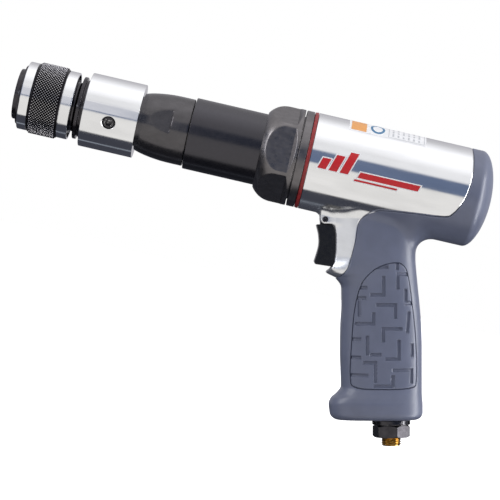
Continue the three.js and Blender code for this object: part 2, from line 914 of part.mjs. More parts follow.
piece("barrel", barrel(), gunmetal());
piece("barrel_seal", barrelSeal(), rubber());
piece("piston", piston(), satinSteel());
piece("valve_seat", valveSeat(), satinSteel());
piece("valve_disc", valveDisc(), satinSteel());
piece("valve_cap", valveCap(), satinSteel());
piece("valve_nut", valveNut(), blackSteel());
piece("valve_seal", valveSeal(), rubber());
piece("barrel_jacket", barrelJacket(), gunmetal());
piece("barrel_nut", barrelNut(), blackSteel());
piece("lock_ring", lockRing(), blackSteel());
piece("gasket_ring", gasketRing(), redSeal());
piece("front_bumper", frontBumper(), rubber());
piece("isolator_spring", spring(FLANGE_BACK + GAP, SPRING_SEAT - GAP, 22.2, 4, 1.6, AXIS_Z), springSteel());

piece("trigger", trigger(), blackMoulding(), grip);
piece("trigger_pin", triggerPin(), blackSteel(), grip);
piece("throttle_bushing", throttleBushing(), brass(), grip);
piece("bushing_seal", bushingSeal(), rubber(), grip);
piece("throttle_stem", throttleStem(), satinSteel(), grip);
piece("throttle_valve", throttleValve(), rubber(), grip);
piece("throttle_spring", throttleSpring(), springSteel(), grip);
piece("inlet_bushing", inletBushing(), blackSteel(), grip);
piece("exhaust_deflector", exhaustDeflector(), blackSteel(), grip);
piece("inlet_seal", inletSeal(), rubber(), grip);
piece("inlet_screen", inletScreen(), satinSteel(), grip);
piece("inlet_nipple", inletNipple(), brass(), grip);

export default tool;
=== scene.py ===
"""The looks of a pistol-grip pneumatic hammer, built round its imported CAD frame.

Lengths are millimetres in the frame's own axes until solid_piece() turns a mesh into metres.
The grip leans, so its shapes are drawn in the grip's own axes and turned by from_grip().
"""
import json
import math
from functools import partial

import bmesh
import bpy
import numpy as np
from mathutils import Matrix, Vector


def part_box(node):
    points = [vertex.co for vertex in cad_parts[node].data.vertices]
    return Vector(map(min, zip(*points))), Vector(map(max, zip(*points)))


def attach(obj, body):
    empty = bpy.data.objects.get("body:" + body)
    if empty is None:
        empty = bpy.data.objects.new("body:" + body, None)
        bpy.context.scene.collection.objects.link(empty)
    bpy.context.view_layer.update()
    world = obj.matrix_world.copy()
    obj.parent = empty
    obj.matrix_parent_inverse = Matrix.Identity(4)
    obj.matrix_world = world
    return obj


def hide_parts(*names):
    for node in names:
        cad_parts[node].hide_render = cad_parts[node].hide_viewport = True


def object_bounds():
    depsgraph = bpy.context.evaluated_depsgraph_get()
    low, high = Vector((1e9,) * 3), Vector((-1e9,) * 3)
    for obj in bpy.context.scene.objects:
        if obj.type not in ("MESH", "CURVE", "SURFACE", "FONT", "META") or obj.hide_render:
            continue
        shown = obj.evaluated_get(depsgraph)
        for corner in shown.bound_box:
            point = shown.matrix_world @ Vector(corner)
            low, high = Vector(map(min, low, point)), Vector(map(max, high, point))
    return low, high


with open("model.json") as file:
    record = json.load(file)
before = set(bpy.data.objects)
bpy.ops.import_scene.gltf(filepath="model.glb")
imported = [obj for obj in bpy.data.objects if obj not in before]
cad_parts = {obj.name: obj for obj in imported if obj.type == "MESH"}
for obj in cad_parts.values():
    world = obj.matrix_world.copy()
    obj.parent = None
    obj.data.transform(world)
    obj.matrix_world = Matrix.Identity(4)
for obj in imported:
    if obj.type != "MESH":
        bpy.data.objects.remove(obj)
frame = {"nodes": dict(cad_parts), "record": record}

CAD_BOX = [list(corner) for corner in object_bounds()]
MM = 0.001
RECORD = frame["record"]
BODY_OF = {node: body for body, nodes in RECORD["behaviour"]["bodies"].items() for node in nodes}
SLOT_OF = {part["node"]: part["material_slot"] for part in RECORD["subparts"]}
AXIS_OF = {joint["name"]: joint["axis"] for joint in RECORD["behaviour"]["joints"]}
LEAN = math.atan2(AXIS_OF["throttle_slide"][2], AXIS_OF["throttle_slide"][0])
GAP = 0.3


# ---- places in the frame ----

def corners_of(node):
    """A CAD node's lowest and highest corners."""
    low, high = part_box(node)
    return np.array(low) / MM, np.array(high) / MM


def span(node):
    """The front, back and outer radius of a node that is turned about the barrel's axis."""
    low, high = corners_of(node)
    return low[0], high[0], (high[2] - low[2]) / 2


def from_grip(points):
    """Points in the grip's leaning axes, in the frame's."""
    x, y, z = np.moveaxis(np.asarray(points, float), -1, 0)
    return np.stack([x * math.cos(LEAN) - z * math.sin(LEAN), y, x * math.sin(LEAN) + z * math.cos(LEAN)], -1)


def to_grip(points):
    x, y, z = np.moveaxis(np.asarray(points, float), -1, 0)
    return np.stack([x * math.cos(LEAN) + z * math.sin(LEAN), y, z * math.cos(LEAN) - x * math.sin(LEAN)], -1)


class Axis:
    """A line that pieces are turned about."""

    def __init__(self, origin, along, side):
        self.origin, self.along, self.side = (np.array(v, float) for v in (origin, along, side))
        self.other = np.cross(self.along, self.side)

    def points(self, station, radius, angle):
        across = np.multiply.outer(radius * np.cos(angle), self.side)
        up = np.multiply.outer(radius * np.sin(angle), self.other)
        return self.origin + np.multiply.outer(station, self.along) + across + up


AXIS_Z = corners_of("barrel_jacket")[0][2] + span("barrel_jacket")[2]
BARREL = Axis((0, 0, AXIS_Z), (1, 0, 0), (0, 0, 1))
INLET_X = 6.3
INLET = Axis(from_grip((INLET_X, 0, 0)), from_grip((0, 0, 1)), from_grip((1, 0, 0)))
THROTTLE_Z = 52
THROTTLE = Axis(from_grip((0, 0, THROTTLE_Z)), from_grip((1, 0, 0)), (0, 1, 0))
PIN, PIN_HOLE_R = (-35.6, 69.9), 1.9
PIN_AXIS = Axis(from_grip((PIN[0], 0, PIN[1])), (0, 1, 0), (1, 0, 0))
SCREW_X = -195.1
SCREW_BELOW = math.radians(15.5)
SCREW = Axis((SCREW_X, 0, AXIS_Z), (0, -math.cos(SCREW_BELOW), -math.sin(SCREW_BELOW)), (1, 0, 0))


# ---- mesh making ----

def solid_piece(name, points, faces):
    """A closed mesh from points in millimetres, with doubled points merged and its faces turned outwards."""
    mesh = bpy.data.meshes.new(name)
    mesh.from_pydata((np.asarray(points) * MM).tolist(), [], faces)
    shape = bmesh.new()
    shape.from_mesh(mesh)
    bmesh.ops.remove_doubles(shape, verts=shape.verts, dist=1e-7)
    bmesh.ops.recalc_face_normals(shape, faces=shape.faces)
    shape.to_mesh(mesh)
    shape.free()
    piece = bpy.data.objects.new(name, mesh)
    bpy.context.scene.collection.objects.link(piece)
    return piece


def net(rows, columns, closed_rows=True):
    """The faces of a net of points, closed round its columns and, if asked, round its rows."""
    faces = []
    for i in range(rows if closed_rows else rows - 1):
        a, b = i * columns, (i + 1) % rows * columns
        faces += [(a + j, b + j, b + (j + 1) % columns, a + (j + 1) % columns) for j in range(columns)]
    return faces


def rounded(corners, steps=4):
    """A closed outline of (along, across, rounding) corners, each cut back by its rounding and curved."""
    full = [(*corner, 0.25)[:3] for corner in corners]
    outline = []
    for i, (x, y, rounding) in enumerate(full):
        here = np.array([x, y])
        arms = [np.array(full[k % len(full)][:2]) - here for k in (i - 1, i + 1)]
        lengths = [np.hypot(*arm) for arm in arms]
        cut = min(rounding, 0.45 * lengths[0], 0.45 * lengths[1])
        start, end = (here + arm * cut / length for arm, length in zip(arms, lengths))
        shares = np.linspace(0, 1, steps)
        outline += [(1 - t) ** 2 * start + 2 * t * (1 - t) * here + t * t * end for t in shares]
    return np.array(outline)


def turned(name, outline, axis=BARREL, facets=144, shape=None):
    """A closed outline of (station, radius) points turned about an axis, and trimmed by shape if given."""
    outline = np.asarray(outline, float)
    station, angle = np.meshgrid(outline[:, 0], np.arange(facets) * 2 * math.pi / facets, indexing="ij")
    radius = np.repeat(outline[:, 1:], facets, axis=1)
    if shape:
        radius = shape(station, radius, angle)
    points = axis.points(station, radius, angle).reshape(-1, 3)
    return solid_piece(name, points, net(len(outline), facets))


def rod(name, start, end, radius, axis, facets):
    """A plain cylinder along a stretch of an axis."""
    return turned(name, [(start, 0.01), (start, radius), (end, radius), (end, 0.01)], axis, facets)


def prism(name, outline, half_width):
    """An outline of (x, z) points in the frame's axes, as a slab along Y."""
    count = len(outline)
    points = [(x, y, z) for y in (-half_width, half_width) for x, z in outline]
    faces = [tuple(range(count)), tuple(range(2 * count - 1, count - 1, -1))]
    faces += [(i, (i + 1) % count, count + (i + 1) % count, count + i) for i in range(count)]
    return solid_piece(name, np.array(points), faces)


def grip_prism(name, outline, half_width):
    """A slab whose outline is given in the grip's axes."""
    return prism(name, from_grip([(x, 0, z) for x, z in outline])[:, [0, 2]], half_width)


def spline(points, steps=6, closed=False):
    """A smooth curve through 2-D points."""
    points = [np.array(p, float) for p in points]
    count = len(points)
    curve = []
    for i in range(count if closed else count - 1):
        if closed:
            a, b, c, d = (points[(i + k) % count] for k in (-1, 0, 1, 2))
        else:
            a, b, c, d = points[max(i - 1, 0)], points[i], points[i + 1], points[min(i + 2, count - 1)]
        for t in np.arange(steps) / steps:
            curve.append(0.5 * (2 * b + (c - a) * t + (2 * a - 5 * b + 4 * c - d) * t**2
                                + (3 * b - a - 3 * c + d) * t**3))
    return curve if closed else curve + [points[-1]]


def apply_modifiers(piece):
    bpy.context.view_layer.update()
    evaluated = piece.evaluated_get(bpy.context.evaluated_depsgraph_get())
    mesh = bpy.data.meshes.new_from_object(evaluated)
    piece.modifiers.clear()
    old = piece.data
    piece.data = mesh
    bpy.data.meshes.remove(old)


def combine(piece, others, operation="DIFFERENCE"):
    """Cuts a closed piece by others, or joins or crosses them, and uses the others up."""
    for other in others:
        modifier = piece.modifiers.new("Combine", "BOOLEAN")
        modifier.operation = operation
        modifier.solver = "MANIFOLD"
        modifier.object = other
        apply_modifiers(piece)
        bpy.data.objects.remove(other)
    return piece


def bevelled(piece, width, segments, angle):
    modifier = piece.modifiers.new("Bevel", "BEVEL")
    modifier.width = width * MM
    modifier.segments = segments
    modifier.limit_method = "ANGLE"
    modifier.angle_limit = math.radians(angle)
    modifier.harden_normals = False
    apply_modifiers(piece)
    return piece


def shade(piece, sharp=32, even=True):
    """Smooth shading that breaks at sharp edges and stays level on the large faces."""
    piece.data.shade_smooth()
    piece.data.set_sharp_from_angle(angle=math.radians(sharp))
    if even:
        modifier = piece.modifiers.new("Even normals", "WEIGHTED_NORMAL")
        modifier.keep_sharp = True
    return piece


def adopt(piece, look, *nodes):
    """Puts a piece on the body of the CAD nodes that it stands for, with their finish."""
    piece.data.materials.clear()
    piece.data.materials.append(look)
    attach(piece, BODY_OF[nodes[0]])
    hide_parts(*nodes)
    return piece


# ---- the housing and the grip: one smooth skin, measured by its distance ----

BODY_R = 30.7
DOME_START, DOME_DEPTH, DOME_POWER = 37.0, 11.6, 1.9
GRIP_BOTTOM, GRIP_TOP = -55.8, 88.0
BOTTOM_ROUNDING = 4.5
SECTION_POWER = 2 / 0.74

# Sections of the grip in its own axes: height, front, back, half width.
SECTIONS = [
    (-60, -31.6, 25.8, 19.3),
    (-51, -32.6, 26.0, 19.6),
    (-46, -33.1, 26.0, 19.8),
    (-42.5, -31.8, 25.7, 19.2),
    (-39, -28.0, 25.5, 18.3),
    (-35, -25.4, 25.5, 17.6),
    (-12, -26.0, 25.5, 17.2),
    (3, -25.8, 25.1, 16.9),
    (16, -25.1, 24.1, 16.6),
    (27, -25.2, 23.0, 16.5),
    (33.4, -29.2, 22.4, 16.7),
    (36.5, -34.6, 22.1, 16.9),
    (45, -38.5, 21.5, 17.6),
    (53, -38.5, 21.6, 17.8),
    (62, -38.5, 22.5, 17.8),
    (90, -38.5, 22.5, 17.8),
]

# The front of the web behind the trigger: height, front.
WEB_FRONT = [(-60, -80), (32, -80), (35.8, -46), (37.5, -35.0), (38.8, -32.7), (40.5, -31.2), (42.8, -30.1),
             (50.4, -29.2), (60, -29.2), (66, -30.0), (90, -30.0)]
# The web's half width: least at its front, wider behind and below, and its slope's share of a true distance.
WEB_HALF, WEB_SPREAD, WEB_SPREAD_X, WEB_FLARE, WEB_FLARE_Z = 11.3, 0.45, -30, 0.03, 47
WEB_SLOPE, WEB_FILLET, WEB_EDGE = 0.91, 1.6, 1.2

# The lug that holds the trigger's pin.
LUG_HALF, LUG_LOW, LUG_HIGH = 11.0, (-38.6, 66.9), (-14, 88)
LUG_ROUNDING, LUG_EDGE, LUG_FILLET = 3.0, 1.2, 3.5

# The fillet between the grip and the housing grows from front to back.
SADDLE_X, SADDLE_RUN, SADDLE_FRONT_R, SADDLE_MORE = 6, 16, 3.2, 8.6


def smooth_rows(rows, step=0.4):
    """A table's columns against its first one, joined by curves that don't overshoot."""
    rows = np.array(rows, float)
    at, values = rows[:, 0], rows[:, 1:]
    gap = np.diff(at)[:, None]
    slope = np.diff(values, axis=0) / gap
    tangent = np.zeros_like(values)
    same = slope[:-1] * slope[1:] > 0
    total = np.where(same, slope[:-1] + slope[1:], 1)
    tangent[1:-1] = np.where(same, 2 * slope[:-1] * slope[1:] / total, 0)
    tangent[0], tangent[-1] = slope[0], slope[-1]
    fine = np.arange(at[0], at[-1], step)
    i = np.clip(np.searchsorted(at, fine, side="right") - 1, 0, len(gap) - 1)
    t = ((fine - at[i]) / gap[i, 0])[:, None]
    rise = (values[i + 1] - values[i]) * t**2 * (3 - 2 * t)
    curve = values[i] + gap[i] * tangent[i] * t * (1 - t) ** 2 + rise
    return fine, (curve - gap[i] * tangent[i + 1] * t**2 * (1 - t)).T


SECTION_AT, SECTION_COLUMNS = smooth_rows(SECTIONS)


def round_max(a, b, rounding):
    """The crossing of two shapes, with its edge rounded."""
    outside = np.hypot(np.maximum(a + rounding, 0), np.maximum(b + rounding, 0))
    return np.minimum(np.maximum(a, b), -rounding) + outside


def round_union(a, b, radius):
    """Two shapes joined by a fillet of a given radius."""
    inside = np.hypot(np.maximum(radius - a, 0), np.maximum(radius - b, 0))
    return np.maximum(np.minimum(a, b), radius) - inside


def smooth_min(a, b, reach):
    """Two shapes joined by a fillet."""
    share = np.clip(0.5 + 0.5 * (b - a) / reach, 0, 1)
    return b * (1 - share) + a * share - reach * share * (1 - share)


def power_distance(u, v, u_size, v_size, power):
    """The distance to a superellipse, true to first order at its edge."""
    u, v = np.abs(u) / u_size, np.abs(v) / v_size
    size = np.maximum((u**power + v**power) ** (1 / power), 1e-6)
    slope = size ** (1 - power) * np.hypot(u ** (power - 1) / u_size, v ** (power - 1) / v_size)
    return (size - 1) / np.maximum(slope, 1e-6)


def tool_distance(points):
    """How far points are outside the housing and grip."""
    x, y, z = points.T
    from_axis = np.hypot(y, z - AXIS_Z)
    dome = power_distance(np.maximum(x - DOME_START, 0), from_axis, DOME_DEPTH, BODY_R, DOME_POWER)
    gx, gy, gz = to_grip(points).T
    front, back, half = (np.interp(gz, SECTION_AT, column) for column in SECTION_COLUMNS)
    grip = power_distance(gx - (front + back) / 2, gy, (back - front) / 2, half, SECTION_POWER)
    grip = round_max(grip, GRIP_BOTTOM - gz, BOTTOM_ROUNDING)
    grip = np.maximum(grip, gz - GRIP_TOP)
    spread = WEB_SPREAD * np.maximum(gx - WEB_SPREAD_X, 0)
    web_half = WEB_HALF + spread + WEB_FLARE * np.maximum(WEB_FLARE_Z - gz, 0) ** 2
    grip = -smooth_min(-grip, (web_half - np.abs(gy)) * WEB_SLOPE, WEB_FILLET)
    grip = round_max(grip, np.interp(gz, *zip(*WEB_FRONT)) - gx, WEB_EDGE)
    lug_x, lug_z = (np.abs(at - (low + high) / 2) - (high - low) / 2
                    for at, low, high in zip((gx, gz), LUG_LOW, LUG_HIGH))
    lug = round_max(round_max(lug_x, lug_z, LUG_ROUNDING), np.abs(gy) - LUG_HALF, LUG_EDGE)
    grip = smooth_min(grip, lug, LUG_FILLET)
    saddle = np.clip((gx - SADDLE_X) / SADDLE_RUN, 0, 1)
    return round_union(grip, dome, SADDLE_FRONT_R + SADDLE_MORE * saddle**2 * (3 - 2 * saddle))


# The seam between the silver housing and the grip cover, from the top down to the lip under the trigger.
SEAM_ROUND = [(29.8, 124.6), (31.7, 107), (30.5, 93.5), (28.6, 87.2), (25.4, 80.9), (20.6, 77.6), (2, 75.5),
              (-14.9, 73.4), (-22.5, 71)]
SEAM_WEB = [(-14.5, 68.7), (-17, 56.7), (-19.5, 46.6), (-21.4, 40.3), (-24.6, 35.6), (-28.4, 33.4)]
SEAM_LIP = (-60, 33.4)


def seam_line():
    """The seam in the frame's XZ plane, from above the housing to in front of the grip."""
    web = from_grip([(x, 0, z) for x, z in SEAM_WEB])[:, [0, 2]]
    curve = spline([*SEAM_ROUND, *web], 6)
    top = curve[0] + np.array([-9.0, 26.0])
    lip = from_grip((SEAM_LIP[0], 0, SEAM_LIP[1]))[[0, 2]]
    return np.array([top, *curve, lip])


SEAM = seam_line()
LIP_DEPTH, LIP_REACH, SEAM_REACH = 0.5, 0.8, 2.2


def seam_distance(points):
    """How far points are from the seam, seen from the side."""
    flat = points[:, [0, 2]]
    nearest = np.full(len(flat), 1e9)
    for a, b in zip(SEAM[:-1], SEAM[1:]):
        t = np.clip((flat - a) @ (b - a) / ((b - a) @ (b - a)), 0, 1)
        nearest = np.minimum(nearest, np.hypot(*(flat - a - t[:, None] * (b - a)).T))
    return nearest


def lipped_distance(points):
    """The skin with both edges of the seam rounded down into it."""
    near = np.clip(1 - seam_distance(points) / LIP_REACH, 0, 1)
    return tool_distance(points) + LIP_DEPTH * near**1.6


SETTLE_ROUNDS, LEAST_STEEPNESS = 3, 0.05
SAME_WAY = 0.72  # how closely a face's normal must follow the skin's to be part of it


def gradient(distance, points, step=0.04):
    shifts = np.eye(3) * step
    return np.stack([(distance(points + s) - distance(points - s)) / (2 * step) for s in shifts], -1)


def settled(distance, points):
    """Points moved onto a skin."""
    for _ in range(SETTLE_ROUNDS):
        slope = gradient(distance, points)
        steepness = np.maximum((slope**2).sum(-1), LEAST_STEEPNESS)
        points = points - slope * (distance(points) / steepness)[:, None]
    return points


def neighbours(along):
    """Slices of a grid's points, and of the points next to them along one axis."""
    near, far = [slice(None)] * 3, [slice(None)] * 3
    near[along], far[along] = slice(0, -1), slice(1, None)
    return tuple(near), tuple(far)


def skin_points(distance, low, high, cell):
    """A closed net of four-sided faces round all that a distance has inside."""
    axes = [np.arange(a, b + cell, cell) for a, b in zip(low, high)]
    counts = [len(axis) for axis in axes]
    grid = np.stack(np.meshgrid(*axes, indexing="ij"), -1).reshape(-1, 3)
    values = np.concatenate([distance(part) for part in np.array_split(grid, 12)]).reshape(counts)
    inside = values < 0
    cells = [count - 1 for count in counts]
    total, hits = np.zeros((*cells, 3)), np.zeros(cells)
    for along in range(3):
        near, far = neighbours(along)
        crossing = inside[near] != inside[far]
        share = values[near] / np.where(crossing, values[near] - values[far], 1)
        b, c = (k for k in range(3) if k != along)
        for p, q in ((0, 0), (0, 1), (1, 0), (1, 1)):
            pick = [slice(None)] * 3
            pick[b], pick[c] = slice(p, counts[b] - 1 + p), slice(q, counts[c] - 1 + q)
            here = crossing[tuple(pick)]
            hits += here
            total[..., along] += np.where(here, share[tuple(pick)], 0)
            total[..., b] += p * here
            total[..., c] += q * here
    used = hits > 0
    index = np.full(cells, -1)
    index[used] = np.arange(used.sum())
    points = np.array(low) + cell * (np.argwhere(used) + total[used] / hits[used][:, None])
    faces = []
    for along in range(3):
        b, c = (along + 1) % 3, (along + 2) % 3
        near, far = neighbours(along)
        crossing = np.argwhere(inside[near] != inside[far])
        quad = np.zeros((len(crossing), 4), int)
        for k, (p, q) in enumerate([(0, 0), (1, 0), (1, 1), (0, 1)]):
            place = crossing.copy()
            place[:, b] -= p
            place[:, c] -= q
            quad[:, k] = index[tuple(place.T)]
        outward = inside[tuple(crossing.T)]
        quad[~outward] = quad[~outward][:, ::-1]
        faces.append(quad)
    return settled(distance, points), np.concatenate(faces).tolist()


def vertex_points(mesh):
    """A mesh's vertices, in millimetres."""
    points = np.zeros(len(mesh.vertices) * 3)
    mesh.vertices.foreach_get("co", points)
    return points.reshape(-1, 3) / MM


def refine(piece, near, cuts):
    """Divides the edges whose two ends are both near a feature."""
    shape = bmesh.new()
    shape.from_mesh(piece.data)
    close = near(vertex_points(piece.data))
    edges = [e for e in shape.edges if close[e.verts[0].index] and close[e.verts[1].index]]
    bmesh.ops.subdivide_edges(shape, edges=edges, cuts=cuts, use_grid_fill=True)
    bmesh.ops.triangulate(shape, faces=[f for f in shape.faces if len(f.verts) > 4])
    shape.to_mesh(piece.data)
    shape.free()


def settle(piece, distance):
    points = settled(distance, vertex_points(piece.data))
    piece.data.vertices.foreach_set("co", (points * MM).ravel())
    piece.data.update()


def true_normals(piece, distance):
    """Takes the outside's normals from the skin itself, and leaves cut faces flat."""
    mesh = piece.data
    mesh.shade_smooth()
    slope = gradient(distance, vertex_points(mesh))
    slope /= np.linalg.norm(slope, axis=1)[:, None]
    corner = np.zeros(len(mesh.loops), int)
    mesh.loops.foreach_get("vertex_index", corner)
    face_normal = np.zeros(len(mesh.polygons) * 3)
    mesh.polygons.foreach_get("normal", face_normal)
    sizes = np.zeros(len(mesh.polygons), int)
    mesh.polygons.foreach_get("loop_total", sizes)
    flat = np.repeat(face_normal.reshape(-1, 3), sizes, axis=0)
    smooth = slope[corner]
    agrees = (flat * smooth).sum(1) > SAME_WAY
    mesh.normals_split_custom_set(np.where(agrees[:, None], smooth, flat).tolist())


HOUSING_FRONT = corners_of("motor_housing")[0][0]
SKIN_LOW, SKIN_HIGH = (HOUSING_FRONT - 4, -34, -74), (53, 34, 128)
TRIGGER_POCKET = [
    (-50, 67.6), (-27.4, 67.6), (-25.4, 60), (-24.1, 52), (-23.6, 44), (-24.8, 39.1), (-50, 39.1)]
TONGUE_SLOT = [(-50, 60), (-29, 60), (-29, 73.1), (-50, 73.1)]


def closed_skin(points):
    """The skin, stopped just in front of the housing so that it closes."""
    return np.maximum(lipped_distance(points), HOUSING_FRONT - 3 - points[:, 0])


def bores():
    """The holes in the housing and the cover: the motor's, the air's and the throttle's."""
    motor = rounded([
        (HOUSING_FRONT - 8, 0.01, 0), (HOUSING_FRONT - 8, 26.7, 0), (-57.7, 26.7, 0), (-57.7, 24.7, 0),
        (-40, 24.7, 0), (-40, 20.2, 0), (-30, 20.2, 0), (-30, 23, 0), (31, 23, 0), (34, 20, 0), (34, 0.01, 0),
    ], 2)
    inlet = [(-90, 0.01), (-90, 9.3), (-36, 9.3), (-36, 6), (47, 6), (47, 0.01)]
    return [
        turned("motor_bore", motor, BARREL, 96),
        turned("air_bore", inlet, INLET, 64),
        rod("throttle_bore", -50, 8, 7.3, THROTTLE, 48),
        rod("pin_bore", -20, 20, PIN_HOLE_R, PIN_AXIS, 24),
        grip_prism("trigger_pocket", TRIGGER_POCKET, 9.3),
        grip_prism("tongue_slot", TONGUE_SLOT, 5.8),
    ]


FAR_SIDE, FAR_BACK, FAR_BELOW = 50, 90, -95  # outside the tool


def seam_zone(name, forward):
    """All that lies before the seam, or behind it, less half of the gap between the two."""
    run = np.gradient(SEAM, axis=0)
    across = np.stack([run[:, 1], -run[:, 0]], 1) / np.hypot(*run.T)[:, None]
    edge = SEAM + across * (GAP / 2 if forward else -GAP / 2)
    top, lip = edge[0], edge[-1]
    if forward:
        outline = [*edge, (HOUSING_FRONT, lip[1]), (HOUSING_FRONT, top[1])]
    else:
        outline = [*edge, (lip[0], FAR_BELOW), (FAR_BACK, FAR_BELOW), (FAR_BACK, top[1])]
    return prism(name, outline, FAR_SIDE)


EAR_LOW, EAR_HIGH = (-46, -21, 30), (-9, 21, 84)


def near_ear(points):
    """Where the small fillets round the trigger's ear and the web are."""
    places = to_grip(points)
    return ((places > EAR_LOW) & (places < EAR_HIGH)).all(-1)


def housing_and_cover():
    skin = solid_piece("grip_shell", *skin_points(closed_skin, SKIN_LOW, SKIN_HIGH, 1.0))
    refine(skin, near_ear, 1)
    refine(skin, lambda points: seam_distance(points) < SEAM_REACH, 2)
    settle(skin, closed_skin)
    housing = skin.copy()
    housing.data = skin.data.copy()
    housing.name = "motor_shell"
    bpy.context.scene.collection.objects.link(housing)
    combine(housing, [seam_zone("front", True)], "INTERSECT")
    combine(skin, [seam_zone("back", False)], "INTERSECT")
    combine(housing, bores())
    combine(skin, [*bores(), *(side_plug("pocket", side, POCKET_LOOPS, 6) for side in (-1, 1))])
    for piece in (housing, skin):
        true_normals(piece, lipped_distance)
    return housing, skin


# ---- the pads in the grip's sides ----

PAD_EDGE = [
    (6, 42.4), (-3.8, 39.1), (-12.6, 30.2), (-17.2, 15), (-19.2, -5), (-20.2, -28.4), (-17, -34.8),
    (0, -36), (18, -35), (21.4, -30), (21, -5), (18.6, 18), (15.8, 36), (12, 41.6)]
PAD_MIDDLE = np.array([1.0, 3.0])
PAD_THICK = 1.6
POCKET_LOOPS = [(0.35, 1.9), (0.35, 0.35), (1.9, -1.2)]
PAD_LOOPS = [(0, PAD_THICK), (0, 0.75), (-0.1, 0.4), (-0.35, 0.12), (-0.8, 0)]

# The pad's recessed strokes, each a bent or straight line.
STROKES = [
    [(0.6, 33.4), (0.6, 22.7), (-6.9, 22.7)],
    [(-3.2, 16.4), (7.9, 16.4), (7.9, 8.8)],
    [(9.5, 27.1), (9.5, 35.6), (16.4, 35.6)],
    [(14.5, 25.2), (14.5, 17.6), (18.4, 17.6)],
    [(-3.2, 39.8), (2.5, 39.8)],
    [(9.1, 43), (9.1, 39.4)],
    [(-14, 27.1), (-10.7, 27.1)],
    [(-18, 20.6), (-11.3, 20.6)],
    [(-14.5, 20.6), (-14.5, 10.1)],
    [(-5.7, 10.7), (-5.7, 4.7), (-16.4, 4.7)],
    [(11.3, 1.6), (0.3, 1.6), (0.3, -5.7)],
    [(16.4, 11.3), (15.4, 0)],
    [(-21, -5), (-14.5, -5)],
    [(-9.5, -3.8), (-9.5, -13.9)],
    [(-6.9, -14.5), (-1.9, -14.5)],
    [(10.1, -6.3), (10.1, -17.3), (2.5, -17.3)],
    [(18.4, -8.8), (18.4, -14.5)],
    [(-21, -16.4), (-14.5, -16.4)],
    [(-11.3, -19.5), (-4.7, -19.5), (-4.7, -30.9)],
    [(6.9, -24.3), (18, -24.3), (18, -31.5)],
    [(-21, -27.4), (-10.1, -27.4)],
    [(6.3, -28.4), (6.3, -34.2), (-5, -34.2)],
]
STROKE_HALF, STROKE_WALL, STROKE_DEPTH = 0.95, 0.35, 1.1


def stroke_depth(flat):
    """How deep the pad is recessed at points of its face."""
    nearest = np.full(len(flat), 1e9)
    for stroke in STROKES:
        for a, b in zip(np.array(stroke[:-1]), np.array(stroke[1:])):
            t = np.clip((flat - a) @ (b - a) / ((b - a) @ (b - a)), 0, 1)
            nearest = np.minimum(nearest, np.abs(flat - a - t[:, None] * (b - a)).max(1))
    wall = np.clip((STROKE_HALF + STROKE_WALL / 2 - nearest) / STROKE_WALL, 0, 1)
    return STROKE_DEPTH * wall * wall * (3 - 2 * wall)


def grip_side(flat):
    """Points of the grip's right side over (x, z) points in the grip's axes, and the skin's normals there."""
    near, far = np.full(len(flat), 2.0), np.full(len(flat), 30.0)
    for _ in range(18):
        middle = (near + far) / 2
        outside = tool_distance(from_grip(np.stack([flat[:, 0], middle, flat[:, 1]], -1))) > 0
        near, far = np.where(outside, near, middle), np.where(outside, middle, far)
    points = from_grip(np.stack([flat[:, 0], near, flat[:, 1]], -1))
    slope = gradient(tool_distance, points)
    return points, slope / np.linalg.norm(slope, axis=1)[:, None]


def side_plug(name, side, loops, rings, relief=None, around=3):
    """A closed plug in the grip's side: loops of (growth, depth) from its inner rim out, then two sheets."""
    edge = np.array(spline(PAD_EDGE, 8 * around, closed=True))
    run = np.roll(edge, -1, axis=0) - np.roll(edge, 1, axis=0)
    across = np.stack([-run[:, 1], run[:, 0]], 1) / np.hypot(*run.T)[:, None]
    across *= np.sign(((edge - PAD_MIDDLE) * across).sum(1))[:, None]
    rows = []
    first, last = loops[0], loops[-1]
    for scale in (0, 0.25, 0.5, 0.75):
        rows.append((PAD_MIDDLE + scale * (edge + across * first[0] - PAD_MIDDLE), first[1], False))
    rows += [(edge + across * growth, depth, relief is not None and depth < 1) for growth, depth in loops]
    for scale in np.linspace(1, 0, rings + 1)[1:]:
        rows.append((PAD_MIDDLE + scale * (edge + across * last[0] - PAD_MIDDLE), last[1], True))
    points = []
    for flat, depth, on_top in rows:
        place, normal = grip_side(flat)
        sink = depth + (relief(flat) if relief and on_top else 0)
        points.append(place - normal * np.reshape(sink, (-1, 1)))
    points = np.concatenate(points)
    points[:, 1] *= side
    return solid_piece(name, points, net(len(rows), len(edge), closed_rows=False))


# ---- pieces turned about the barrel's axis ----

SOCKET_R, RETAINER_R, THREAD_R, TUBE_R, GLAND_R, CYLINDER_R, SHANK_R = 10.3, 14.0, 15.7, 17.5, 24.7, 9.5, 5.3
LATCH_R, LATCH_SLOPE, BALL_X = 15.75, 0.2, -241.0
KNURL_TEETH = 72


def cone_radius(x):
    """The sleeve's cone over the latch balls."""
    return LATCH_R + LATCH_SLOPE * (BALL_X - 0.5 - x)


def nose_ring():
    front, back, radius = span("nose_ring")
    step = front + 2.9
    return turned("nose_cap", rounded([
        (front, SOCKET_R, 0.8), (front, 16, 0.9), (step, 16, 0.3), (step, radius, 0.7), (back, radius, 0.6),
        (back, RETAINER_R + GAP), (front + 1.7, RETAINER_R + GAP), (front + 1.7, SOCKET_R)]))


